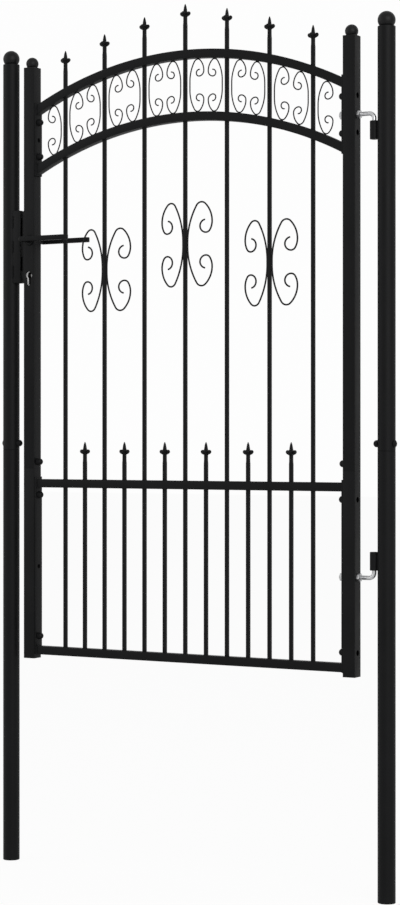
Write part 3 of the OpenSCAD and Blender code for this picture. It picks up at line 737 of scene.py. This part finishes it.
STILE_HALF = 15 * mm
CORNER = 0.6 * mm           # the rolled corners of square tube
FLANGE_THICK = 4 * mm
HINGE_HOLE, FRAME_HOLE, OUTER_HOLE = 5.25 * mm, 3.25 * mm, 6.5 * mm
LEAF_X = middle("bottom_rail").x
HINGE_STILE_X = middle("hinge_stile_upper").x
LATCH_STILE_X = middle("latch_stile_upper").x
STILE_SEAM, STILE_TOP = heights("hinge_stile_upper")
STILE_FOOT = heights("hinge_stile_lower")[0]
STILE_BOLT_H = STILE_SEAM + 16 * mm
PANEL_BOLTS = (heights("hinge_lower_flange")[0] + 44 * mm, heights("hinge_lower_flange")[1] - 44 * mm)
ARCH_BOLTS = (heights("hinge_arch_flange")[0] + 47 * mm, heights("hinge_arch_flange")[1] - 47 * mm)
FLANGE_BOLTS = PANEL_BOLTS + ARCH_BOLTS


def square_tube(name, x, half, foot, top, corner=CORNER):
    """A square tube along Z with rolled corners."""
    tube = upright(name, x, half, foot, top)
    round_edges(tube, along_z, corner, 4)
    pick(tube, "FACE", along_z)
    ops.mesh.delete(type="FACE")
    put_down()
    return use_tool(tube, "SOLIDIFY", thickness=1.5 * mm, offset=-1, use_rim=True, use_even_offset=True)


def stile_tube(node, x, foot, top, *cutters):
    """One length of a stile with eased ends and with its holes, along the middle at x."""
    rim = STILE_HALF - 0.8 * mm
    tube = square_tube(node + "_tube", x, STILE_HALF, foot, top)
    round_edges(
        tube, lambda mid, run: not along_z(mid, run) and max(abs(mid.x - x), abs(mid.y)) > rim, 0.35 * mm, 2)
    out = CUT / 2 if x > LEAF_X else -CUT / 2
    holes = []
    for height in FLANGE_BOLTS:
        holes += [(FRAME_HOLE, x - out, height, CUT / 2), (OUTER_HOLE, x + out, height, CUT / 2, 32)]
    for height in (UPPER_BOLT_H, LOWER_BOLT_H):
        holes.append((HINGE_HOLE, x, height, CUT, 32))
    holes.append((JOINT_HOLE, x, STILE_BOLT_H))
    drills = [drill(*hole) for hole in holes if foot < hole[2] < top]
    return cut(tube, joined("drills", drills), *cutters)


def spigot(x):
    """The reduced end that plugs into the upper length of a stile."""
    inner = square_tube("spigot", x, 13.2 * mm, STILE_SEAM - 55 * mm, STILE_SEAM + 60 * mm, 1 * mm)
    return cut(inner, drill(JOINT_HOLE, x, STILE_BOLT_H))


for stile, x in (("hinge_stile", HINGE_STILE_X), ("latch_stile", LATCH_STILE_X)):
    tube = stile_tube(stile + "_lower", x, STILE_FOOT, STILE_SEAM)
    fit(joined(stile + "_lower_tube", [tube, spigot(x)]), stile + "_lower")
tube = stile_tube("hinge_stile_upper", HINGE_STILE_X, STILE_SEAM, STILE_TOP)
fit(tube, "hinge_stile_upper")

SPINDLE = middle("lever_spindle")
CYLINDER_H = SPINDLE.z - 85 * mm
KEY_R, KEY_SLOT_R, KEY_LONG = 8.75 * mm, 5.25 * mm, 33.5 * mm
CASE_LOW, CASE_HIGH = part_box("lock_case")


def cross_drill(radius, height, sides=40):
    """A rod to drill the latch stile and the lock with from front to back."""
    return rod("cross_drill", radius, (LATCH_STILE_X, -CUT, height), 2 * CUT, "Y", sides)


def key_hole():
    """A cutter in the outline of a key cylinder: a round above a slot with a round foot."""
    foot = CYLINDER_H + KEY_R - KEY_LONG + KEY_SLOT_R
    slot = slab("key_slot", around(LATCH_STILE_X, KEY_SLOT_R), CUT, (foot, CYLINDER_H))
    return cut(slot, cross_drill(KEY_SLOT_R, foot, 32), cross_drill(KEY_R, CYLINDER_H), operation="UNION")


outer_wall = (LATCH_STILE_X - 16 * mm, LATCH_STILE_X - 12 * mm)
case_slot = slab("case_slot", outer_wall, 10 * mm, (CASE_LOW.z, CASE_HIGH.z))
tube = stile_tube(
    "latch_stile_upper", LATCH_STILE_X, STILE_SEAM, STILE_TOP, key_hole(), cross_drill(8.25 * mm, SPINDLE.z),
    case_slot)
fit(tube, "latch_stile_upper")


def stile_cap(x):
    """A square plate with a plug below it and a ball on a short neck above it."""
    plate = upright("plate", x, STILE_HALF, STILE_TOP, STILE_TOP + 2 * mm)
    round_edges(plate, along_z, 1 * mm, 4)
    round_edges(plate, lambda mid, run: not along_z(mid, run) and mid.z > STILE_TOP + 1 * mm, 0.7 * mm)
    plug = ease(upright("plug", x, 13.4 * mm, STILE_TOP - 12 * mm, STILE_TOP + 0.5 * mm), 1 * mm)
    pairs = [(12.2, 1.5), (12.2, 2.0), (11.7, 2.3)] + ball(30, 23, 2.5)
    top = turned("ball", outline(*pairs), (x, 0, STILE_TOP), sides=56)
    return joined("stile_cap", [plate, plug, top])


caps = [stile_cap(x) for x in (HINGE_STILE_X, LATCH_STILE_X)]
fit(joined("stile_ball_caps", caps), "stile_caps", coat=PLASTIC, smooth=50)


def flange(node, bolts, hinge_h):
    """A flat bar with rounded edges, drilled for the stile's bolts and for a hinge bolt."""
    low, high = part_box(node)
    x, reach = low.x + FLANGE_THICK / 2, 7 * mm
    bar = round_edges(block(node + "_bar", low, high), anywhere, 0.7 * mm)
    drills = [drill(FRAME_HOLE, x, height, reach) for height in bolts]
    drills.append(drill(HINGE_HOLE, x, hinge_h, reach, 32))
    fit(cut(bar, joined("drills", drills)), node)


for side in ("hinge", "latch"):
    flange(side + "_lower_flange", PANEL_BOLTS, LOWER_BOLT_H)
    flange(side + "_arch_flange", ARCH_BOLTS, UPPER_BOLT_H)

for node in ("bottom_rail", "mid_rail"):
    rail = block(node + "_tube", *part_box(node))
    fit(round_edges(rail, along_x, CORNER), node)

ARCH_R = 920 * mm
RAIL_W = 20 * mm
UPPER_CROWN = heights("upper_arch_rail")[1]
LOWER_CROWN = heights("lower_arch_rail")[1]
RAIL_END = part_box("bottom_rail")[1].x - LEAF_X


def arch_rail(node, crown):
    """Half an arch spun from a rounded square, cut off at the flange and mirrored."""
    put_down()
    ops.mesh.primitive_plane_add(
        size=RAIL_W, location=(LEAF_X, 0, crown - RAIL_W / 2), rotation=(0, QUARTER, 0))
    rail = settle(node + "_tube")
    pick_all(rail)
    ops.mesh.bevel(offset=CORNER, segments=3, affect="VERTICES")
    pick_all(rail, "EDGE")
    ops.mesh.delete(type="ONLY_FACE")
    ops.mesh.select_all(action="SELECT")
    angle = asin((RAIL_END + RAIL_W) / ARCH_R)
    ops.mesh.spin(steps=44, angle=angle, center=(LEAF_X, 0, crown - ARCH_R), axis=SPIN_ROUND)
    ops.mesh.select_all(action="SELECT")
    ops.mesh.bisect(plane_co=(LEAF_X + RAIL_END, 0, 0), plane_no=(1, 0, 0), use_fill=True, clear_outer=True)
    put_down()
    mirror_at = bring(bpy.data.objects.new("mirror_at", None))
    mirror_at.location = (LEAF_X, 0, 0)
    bpy.context.view_layer.update()
    use_tool(rail, "MIRROR", mirror_object=mirror_at, merge_threshold=0.01 * mm)
    spare(mirror_at)
    fit(outward(rail), node)


arch_rail("upper_arch_rail", UPPER_CROWN)
arch_rail("lower_arch_rail", LOWER_CROWN)


def side_bolts():
    """The bolts on the hinge side: domed nuts on the inner side, the ends inside the tube."""
    to_inside = Matrix.Rotation(-QUARTER, 4, "Y")
    frame_rod, frame_nut = rod("frame_rod", 3 * mm, (0, 0, 6 * mm), 28 * mm), cap_nut(12)
    joint_rod, joint_nut = rod("joint_rod", 4 * mm, (0, 0, 0), 30 * mm), cap_nut(14.5)
    places = []
    for height in FLANGE_BOLTS:
        places += [(frame_rod, STILE_OUT_X, height), (frame_nut, FLANGE_IN_X, height)]
    places += [(joint_rod, STILE_OUT_X, STILE_BOLT_H), (joint_nut, FLANGE_IN_X + FLANGE_THICK, STILE_BOLT_H)]
    bolts = [another(one, (x, 0, height), to_inside) for one, x, height in places]
    spare(frame_rod, joint_rod, frame_nut, joint_nut)
    return joined("hinge_side_bolts", bolts)


pattern = side_bolts()
fit(joined("frame_side_bolts", [flipped(pattern, X, (2 * LEAF_X, 0, 0)), pattern]),
    "frame_bolts", smooth=45)


# ---------- bars ----------

BAR_HALF = 4 * mm
PITCH = (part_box("lower_bars")[1].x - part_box("lower_bars")[0].x - 2 * BAR_HALF) / 6
LONG = [LEAF_X + i * PITCH for i in range(-3, 4)]
SHORT = [LEAF_X + (i - 2.5) * PITCH for i in range(6)]
TIP_DROPS = [0, 20 * mm, 50 * mm, 80 * mm]      # how much lower the tips are, bar by bar from the middle
LONG_TIPS = [heights("long_bars")[1] - TIP_DROPS[abs(i)] for i in range(-3, 4)]
SHORT_TIPS = [heights("short_bars")[1]] * 6
SPEAR_LONG, ARMS_DOWN = 48 * mm, 31.5 * mm      # a spear's length, and how far below its tip the arms spread
MID_LOW, MID_TOP = heights("mid_rail")
BOTTOM_LOW, BOTTOM_TOP = heights("bottom_rail")


def spear():
    """A forged spear with its tip at the origin: a point over four knobs on slanted arms."""
    widths = [(8, -48.5), (8, -48), (7.7, -44.5), (7.2, -41), (7.2, -30), (7.3, -18), (7.1, -16.2),
              (6.3, -13.4), (5.4, -9), (4.5, -6), (3.3, -3.4), (2.2, -1.2), (1.5, 0)]
    square = [(width * sqrt(0.5), height) for width, height in widths]
    shaft = turned("spear_shaft", outline(*square), sides=4, slant=QUARTER / 2)
    petal = turned("spear_arm", outline(
        (1.6, 0), (2.5, 0.8), (2.7, 4), (2.9, 6.2), (3.7, 8.0), (4.5, 9.9), (4.75, 12.0), (4.55, 13.9),
        (3.8, 15.5), (2.4, 16.9), (0.7, 17.45)), sides=20)
    aslant = Matrix.Rotation(QUARTER / 2, 4, "Y")
    petals = [another(petal, (0, 0, -ARMS_DOWN), Matrix.Rotation(QUARTER * k, 4, "Z") @ aslant)
              for k in range(4)]
    spare(petal)
    head = joined("spear", [shaft] + petals)
    use_tool(head, "REMESH", mode="VOXEL", voxel_size=0.5 * mm)
    use_tool(head, "SMOOTH", factor=0.5, iterations=3)
    use_tool(head, "DECIMATE", ratio=0.28)
    pick(head, "FACE", lambda mid, normal: normal.z < -0.8 and mid.z < -SPEAR_LONG)
    ops.mesh.delete(type="FACE")
    put_down()
    return head


def square_bar(x, foot, top):
    """A solid square bar with softened edges."""
    return round_edges(upright("bar", x, BAR_HALF, foot, top), along_z, 0.25 * mm, 2)


def spear_bars(name, node, places, foot, tips):
    """Square bars, each drawn out into a spear."""
    overlap = 0.2 * mm
    bars = []
    for x, tip in zip(places, tips):
        bars += [square_bar(x, foot, tip - SPEAR_LONG + overlap), another(head, (x, 0, tip))]
    fit(joined(name, bars), node, smooth=50)


head = spear()
spear_bars("long_spear_bars", "long_bars", LONG, MID_TOP - 1.5 * mm, LONG_TIPS)
spear_bars("short_spear_bars", "short_bars", SHORT, BOTTOM_TOP, SHORT_TIPS)
spare(head)
lower_bars = [square_bar(x, BOTTOM_TOP, MID_LOW) for x in LONG]
fit(joined("lower_square_bars", lower_bars), "lower_bars")


# ---------- scrolls ----------

def two_arcs(along, across, turn):
    """The (radius, angle) of two arcs, the first turning by turn, that turn a wire by a right angle."""
    c, s = cos(turn), sin(turn)
    k = 1 - c - s
    return [((across * (1 - s) - c * along) / k, turn), (((1 - c) * along - s * across) / k, QUARTER - turn)]


def along_wire(arcs, steps=8):
    """Places on each arc of a wire that starts at the origin towards +Z and turns to +X."""
    x, z, heading, places = 0.0, 0.0, 0.0, []
    for r, turn in arcs:
        for k in range(steps + 1):
            now = heading + turn * k / steps
            across, up = cos(heading) - cos(now), sin(now) - sin(heading)
            places.append((x + r * across, z + r * up))
        x, z = places[-1]
        heading += turn
    return places


def bent_wire(name, arcs, back, d, sides=14):
    """A C of round wire: a straight back, each end spun arc after arc into a curl."""
    wire = ring(name, d / 2, sides)
    draw_out(z=back / 2)
    x, z, heading = 0.0, back / 2, 0.0
    for r, turn in arcs:
        centre = (x + r * cos(heading), 0, z - r * sin(heading))
        steps = max(3, int(r * turn / (2.4 * mm)), int(degrees(turn) / 8))
        ops.mesh.spin(steps=steps, angle=turn, center=centre, axis=SPIN_ROUND)
        heading += turn
        x, z = centre[0] - r * cos(heading), centre[2] + r * sin(heading)
    onward_x, onward_z = sin(heading) * 0.35 * mm, cos(heading) * 0.35 * mm
    draw_out(onward_x, onward_z)
    ops.transform.resize(value=(0.72, 0.72, 0.72), center_override=(x + onward_x, 0, z + onward_z))
    ops.mesh.edge_face_add()
    put_down()
    use_tool(wire, "MIRROR", use_axis=(False, False, True), merge_threshold=0.01 * mm)
    return outward(wire)


def side_copy(wire, x, z, side, fold=0.0, seat=0.0):
    """A copy of a scroll on one side of the bar at x, its back seat away from the bar's middle.

    fold turns it back from the leaf's plane.
    """
    turn = Matrix.Diagonal((side, 1, 1, 1)) @ Matrix.Rotation(fold, 4, "Z")
    copy = another(wire, (x + side * seat, 0, z), turn)
    return outward(copy) if side < 0 else copy


# Where a large scroll's wire turns, as (across, along) from the middle of its back.
WING_WIRE, WING_BACK = 4 * mm, 10 * mm
CROWN, SIDE, FOOT = (35.2 * mm, 97.5 * mm), (61.9 * mm, 52.5 * mm), (46.3 * mm, 26.5 * mm)
NARROW, EVEN = radians(30), radians(45)
WING_ARCS = [
    *two_arcs(CROWN[1] - WING_BACK / 2, CROWN[0], NARROW),
    *two_arcs(SIDE[0] - CROWN[0], CROWN[1] - SIDE[1], EVEN),
    *two_arcs(SIDE[1] - FOOT[1], SIDE[0] - FOOT[0], NARROW),
    (15 * mm, radians(170)),
]
wing = bent_wire("wing", WING_ARCS, WING_BACK, WING_WIRE, 16)
FOLD, SEAT = radians(7), 6.3 * mm               # back from the leaf's plane, and off the bar's middle
SEAM_X, SEAM_Y, SEAM_HALF = 4.6 * mm, 2.1 * mm, 15 * mm
wing_seams = []
bead = drop(3.4 * mm, 0.6)
for node in ("butterfly_1", "butterfly_2", "butterfly_3"):
    centre = middle(node)
    wings = [side_copy(wing, centre.x, centre.z, side, FOLD, SEAT) for side in (-1, 1)]
    fit(joined(node + "_wings", wings), node, smooth=60)
    low, high = around(centre.z, SEAM_HALF)
    for side in (-1, 1):
        x = centre.x + side * SEAM_X
        wing_seams += twin_runs(bead, (x, SEAM_Y, low), (x, SEAM_Y, high), (side * 0.5, 1, 0), 1.5 * mm)
spare(wing, bead)

BAND_WIRE = 3 * mm
BAND_OFFSET = 12.5 * mm     # from a long bar's middle to the back of the small scroll beside it
BAND_CROWN, BAND_SIDE = (21.5 * mm, 50.3 * mm), (37.3 * mm, 23 * mm)
BAND_ARCS = [
    *two_arcs(BAND_CROWN[1], BAND_CROWN[0], NARROW),
    *two_arcs(BAND_SIDE[0] - BAND_CROWN[0], BAND_CROWN[1] - BAND_SIDE[1], EVEN),
    (12.5 * mm, QUARTER), (7.5 * mm, QUARTER), (8 * mm, radians(95)),
]


def arch_edge(x, r, crown=UPPER_CROWN):
    """Height at x of a round edge of radius r about an arch's own centre."""
    return crown - ARCH_R + sqrt(r * r - (x - LEAF_X) ** 2)


def band_scroll(x, side):
    """The small scroll on one side of a long bar, as long as the room between the arch rails.

    With it come the two places where it touches them.
    """
    back_x = x + side * BAND_OFFSET
    room = BAND_WIRE / 2 + 0.3 * mm
    tops, lows = [], []
    for across, up in along_wire(BAND_ARCS):
        here = back_x + side * across
        tops.append((arch_edge(here, ARCH_R - RAIL_W - room) - up, here, up))
        lows.append((arch_edge(here, ARCH_R + room, LOWER_CROWN) + up, here, up))
    top, top_x, top_up = min(tops)
    low, low_x, low_up = max(lows)
    wire = bent_wire("band_wire", BAND_ARCS, top - low, BAND_WIRE)
    scroll = side_copy(wire, back_x, (top + low) / 2, side)
    spare(wire)
    return scroll, [(top_x, top + top_up + BAND_WIRE / 2), (low_x, low - low_up - BAND_WIRE / 2)]


TACK_HALF, TACK_Y = 1.6 * mm, 1.1 * mm
scroll_tacks = []
bead = drop(3.0 * mm, 0.7)
BANDS = {"latch_side_scrolls": LONG[:2], "middle_scrolls": LONG[2:5], "hinge_side_scrolls": LONG[5:]}
for node, places in BANDS.items():
    scrolls = []
    for x in places:
        for side in (-1, 1):
            scroll, touches = band_scroll(x, side)
            scrolls.append(scroll)
            for touch_x, z in touches:
                low, high = around(touch_x, TACK_HALF)
                scroll_tacks += twin_runs(bead, (low, TACK_Y, z), (high, TACK_Y, z), (0, 1, 0), 1.3 * mm)
    fit(joined(node + "_wires", scrolls), node, smooth=60)
spare(bead)


# ---------- lock ----------

FACE_LOW, FACE_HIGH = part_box("lock_faceplate")
BOLT_LOW, BOLT_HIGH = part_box("latch_bolt")
DEAD_LOW, DEAD_HIGH = CYLINDER_H + 16 * mm, CYLINDER_H + 42 * mm
MOUTH_HALF, MOUTH_GAP = 6.3 * mm, 0.3 * mm      # of the bolts' holes in the faceplate and the case
LATCH_MOUTH = (BOLT_LOW.z - MOUTH_GAP, BOLT_HIGH.z + MOUTH_GAP)
DEAD_MOUTH = (DEAD_LOW - MOUTH_GAP, DEAD_HIGH + MOUTH_GAP)


def faceplate():
    """The lock's forend: a plate with two bolt holes and a countersunk screw at each end."""
    plate = block("plate", FACE_LOW, FACE_HIGH)
    round_edges(plate, along_x, 2.5 * mm, 4)
    deep = (FACE_LOW.x - 2 * mm, FACE_HIGH.x + 2 * mm)
    mouths = [slab("mouth", deep, MOUTH_HALF, mouth) for mouth in (LATCH_MOUTH, DEAD_MOUTH)]
    sinks, screws = [], []
    for height in (FACE_LOW.z + 7 * mm, FACE_HIGH.z - 7 * mm):
        sink = outline((1.9, -3), (1.9, 0), (4.1, 2.2), (4.1, 4))
        sinks.append(turned("sink", sink, (FACE_LOW.x + 2.2 * mm, 0, height), "-X", sides=32))
        screw = outline((1.8, -1.5), (1.8, 0), (3.8, 1.9), (3.2, 2.15), (0.3, 2.2))
        screw = turned("screw", screw, (FACE_LOW.x + 2.3 * mm, 0, height), "-X", sides=32)
        screws.append(cut(screw, slab("slot", around(FACE_LOW.x, 1 * mm), 5 * mm, around(height, 0.5 * mm))))
    cut(plate, joined("mouths", mouths), joined("sinks", sinks))
    ease(plate, 0.3 * mm, 2, 50)
    return joined("lock_faceplate_plate", [plate] + screws)


fit(faceplate(), "lock_faceplate")


def case():
    """The lock's case: two thick cheeks round a hollow, with the holes for key, spindle and bolts."""
    low = Vector((FACE_HIGH.x, CASE_LOW.y, CASE_LOW.z))
    wall = Vector((1.5 * mm, 3 * mm, 1.5 * mm))
    shell = block("shell", low, CASE_HIGH)
    round_edges(shell, anywhere, 0.6 * mm, 2)
    cut(shell, block("room", low + wall, CASE_HIGH - wall),
        slab("mouth", around(low.x, 3 * mm), MOUTH_HALF, LATCH_MOUTH),
        key_hole(), cross_drill(6.25 * mm, SPINDLE.z))
    dead_bolt = slab("dead_bolt", (FACE_LOW.x, low.x + 12 * mm), 6 * mm, (DEAD_LOW, DEAD_HIGH))
    return joined("lock_case_shell", [shell, ease(dead_bolt, 0.5 * mm)])


fit(case(), "lock_case", coat=CAST_ZINC)

bolt = block("spring_bolt", BOLT_LOW, BOLT_HIGH)
pick_all(bolt)
tip = (BOLT_LOW.x, BOLT_HIGH.y - 2 * mm, 0)
ops.mesh.bisect(plane_co=tip, plane_no=(-10 * mm, -13 * mm, 0), use_fill=True, clear_outer=True)
put_down()
fit(ease(bolt, 0.6 * mm, 3, 20), "latch_bolt", coat=ZINC, body="latch")


def strike():
    """The strike: a folded channel on the latch post with a rounded hole for each bolt."""
    low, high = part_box("strike_box")
    wall, past = 2.5 * mm, 5 * mm
    shell = block("strike_channel", low, high)
    round_edges(shell, lambda mid, run: along_z(mid, run) and mid.x > high.x - 1 * mm, 3.2 * mm, 5)
    room = slab("room", (low.x - past, high.x - wall), high.y - wall, (low.z - past, high.z + past))
    round_edges(room, lambda mid, run: along_z(mid, run) and mid.x > high.x - past, 0.9 * mm)
    post = rod("post", POST_R, (LATCH_POST_X, 0, low.z - past), high.z - low.z + 2 * past, sides=80)
    mouths = []
    for span in ((BOLT_LOW.z - 5 * mm, BOLT_HIGH.z + 23 * mm), (DEAD_LOW - 5 * mm, DEAD_HIGH + 5 * mm)):
        mouth = slab("mouth", (high.x - 8 * mm, high.x + past), 11 * mm, span)
        mouths.append(round_edges(mouth, along_x, 1.5 * mm))
    cut(shell, room, post, joined("mouths", mouths))
    return ease(shell, 0.4 * mm, 2, 45)


fit(strike(), "strike_box", body="posts")
STRIKE_LOW, STRIKE_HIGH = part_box("strike_box")
seat_x = LATCH_POST_X + sqrt(POST_R ** 2 - STRIKE_HIGH.y ** 2) + 0.4 * mm
bead = drop(4.4 * mm, 0.55)
side = STRIKE_HIGH.y + 0.2 * mm
for low in (STRIKE_LOW.z + 14 * mm, STRIKE_LOW.z + 75 * mm, STRIKE_HIGH.z - 40 * mm):
    post_welds += twin_runs(bead, (seat_x, side, low), (seat_x, side, low + 26 * mm), (-0.6, 1, 0), 1.8 * mm)
spare(bead)
fit(joined("post_weld_beads", post_welds), coat=WELD, body="posts", smooth=60)


# ---------- levers ----------

def rose(y, way):
    """A round rose with a rounded rim and a fine groove."""
    profile = outline((6.33, 0), (13, 0), (13, 2.1), (12.75, 2.6), (12.2, 2.95), (10.6, 3.0), (10.3, 2.7))
    profile += outline((10.0, 3.0), (6.8, 3.0), (6.33, 2.6))
    return turned("rose", profile, (SPINDLE.x, y, SPINDLE.z), way, hollow=True, sides=56)


fit(joined("lever_rose_pair", [rose(-STILE_HALF, "-Y"), rose(STILE_HALF, "Y")]),
    "lever_roses", smooth=30)

LEVER_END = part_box("front_lever")[1].x
LEVER_FACE = -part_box("front_lever")[0].y
ARM_HALF, ARM_THICK = 6 * mm, 10 * mm


def lever():
    """The front lever: a round neck that meets a straight arm with rounded edges."""
    profile = outline((5.8, 10.5), (6.25, 11), (6.25, 36))
    profile += outline((6.25, -3), (5.95, -1.5), (5.2, -0.5), (4.1, 0), (TIP, 0), level=LEVER_FACE)
    neck = turned("front_lever_handle", profile, (SPINDLE.x, 0, SPINDLE.z), "-Y")
    arm_low = (SPINDLE.x + 2 * mm, -LEVER_FACE, SPINDLE.z - ARM_HALF)
    arm = block("arm", arm_low, (LEVER_END, ARM_THICK - LEVER_FACE, SPINDLE.z + ARM_HALF))
    round_edges(arm, along_x, 1.8 * mm, 4)
    round_edges(arm, lambda mid, run: not along_x(mid, run) and mid.x > LEVER_END - 1 * mm, 0.9 * mm)
    return cut(neck, arm, operation="UNION")


front = lever()
rear = flipped(front, Y, name="rear_lever_handle")
fit(front, "front_lever", body="handle")
fit(rear, "rear_lever", body="handle")


# ---------- weld metal on the leaf ----------

leaf_welds = []
bead = drop(3.6 * mm, 0.6)
proud, step = 0.2 * mm, 1.7 * mm
skin = RAIL_W / 2 + proud
for side in (-1, 1):
    x = LEAF_X + side * (RAIL_END - 0.3 * mm)
    ends = [(BOTTOM_LOW, BOTTOM_TOP), (MID_LOW, MID_TOP)]
    for crown in (UPPER_CROWN, LOWER_CROWN):
        ends.append((arch_edge(x, ARCH_R - RAIL_W, crown), arch_edge(x, ARCH_R, crown)))
    for low, high in ends:
        start, end = (x, skin, low + 1 * mm), (x, skin, high - 1 * mm)
        leaf_welds += twin_runs(bead, start, end, (-side, 1, 0), step)
        for z, way in ((low - proud, -1), (high + proud, 1)):
            leaf_welds += weld_run(bead, (x, -9 * mm, z), (x, 9 * mm, z), (-side, 0, way), step)
spare(bead)
bead = drop(2.6 * mm, 0.6)


def bar_tacks(x, z, way, slope=0.0):
    """Short runs of weld round a bar where it meets a rail whose edge rises by slope."""
    skin, reach, step = BAR_HALF + proud, 3.4 * mm, 1.3 * mm
    rise = reach * slope
    runs = twin_runs(bead, (x - reach, skin, z - rise), (x + reach, skin, z + rise), (0, 1, way), step)
    for side in (-1, 1):
        at_x, at_z = x + side * skin, z + side * skin * slope
        runs += weld_run(bead, (at_x, -3 * mm, at_z), (at_x, 3 * mm, at_z), (side, 0, way), step)
    return runs


for x in LONG + SHORT:
    leaf_welds += bar_tacks(x, BOTTOM_TOP, 1) + bar_tacks(x, MID_LOW, -1) + bar_tacks(x, MID_TOP, 1)
for x in LONG:
    for crown in (UPPER_CROWN, LOWER_CROWN):
        for r, way in ((ARCH_R, 1), (ARCH_R - RAIL_W, -1)):
            slope = (LEAF_X - x) / sqrt(r * r - (x - LEAF_X) ** 2)
            leaf_welds += bar_tacks(x, arch_edge(x, r, crown), way, slope)
spare(bead)
fit(joined("leaf_weld_beads", leaf_welds + wing_seams + scroll_tacks), coat=WELD, smooth=60)


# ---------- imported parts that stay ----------

for node, coat in (("post_foot_plugs", PLASTIC), ("stile_foot_plugs", PLASTIC), ("lever_spindle", ZINC)):
    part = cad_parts[node]
    part.data.materials.clear()
    part.data.materials.append(coat)


# ---------- floor, light and camera ----------

def light_mask(tone):
    """1 where a surface is seen directly, in a reflection or through glass."""
    camera = tone.node("LightPath", out=0)
    glossy = tone.node("LightPath", out=3)
    through = tone.node("LightPath", out=6)
    return tone.reckon("MAXIMUM", tone.reckon("MAXIMUM", camera, glossy), through)


def bare_nodes(owner):
    """The tools to add nodes to a material or a world that has none yet."""
    owner.use_nodes = True
    owner.node_tree.nodes.clear()
    return Tone(owner.node_tree)


def pale_floor():
    """A wide pale floor that looks white and keeps the gate's soft shadow."""
    put_down()
    ops.mesh.primitive_plane_add(size=60, location=(0, 0, 0))
    floor = settle("floor")
    made = bpy.data.materials.new("pale_floor")
    tone = bare_nodes(made)
    matte = tone.node("BsdfDiffuse", Color=(0.80, 0.80, 0.80, 1))
    white = tone.node("Emission", Color=(1, 1, 1, 1), Strength=1.0)
    mix = tone.node("MixShader", in_0=light_mask(tone) * 0.94, in_1=matte, in_2=white)
    tone.node("OutputMaterial", Surface=mix)
    floor.data.materials.append(made)


def pale_world(seen, level):
    """Plain surroundings that are seen at one level of white and light the gate at another."""
    world = bpy.data.worlds.new("studio")
    bpy.context.scene.world = world
    tone = bare_nodes(world)
    strength = light_mask(tone) * (seen - level) + level
    sky = tone.node("Background", Color=(1, 1, 1, 1), Strength=strength)
    tone.node("OutputWorld", Surface=sky)


GATE_MIDDLE = Vector((-0.5, 0, 1.0))


def soft_lamp(name, place, size, power):
    """A large square soft lamp that looks at the gate's middle."""
    light = bpy.data.lights.new(name, "AREA")
    light.shape = "SQUARE"
    light.size = size
    light.energy = power
    lamp = bring(bpy.data.objects.new(name, light))
    lamp.location = place
    lamp.rotation_euler = (GATE_MIDDLE - Vector(place)).to_track_quat("-Z", "Y").to_euler()


pale_floor()
pale_world(0.985, 0.5)
soft_lamp("key", (4.2, -4.0, 3.2), 4.6, 260)
soft_lamp("fill", (-4.2, -2.5, 2.6), 3.0, 40)

camera = bpy.data.cameras.new("camera")
camera.lens = 87.7
camera.sensor_width = 36
camera.shift_y = -0.017
viewer = bring(bpy.data.objects.new("camera", camera))
viewer.location = (2.090, -4.429, 1.0306)
viewer.rotation_euler = (QUARTER, 0, radians(30.1))
bpy.context.scene.camera = viewer
bpy.context.scene.view_settings.view_transform = "Standard"

put_down()
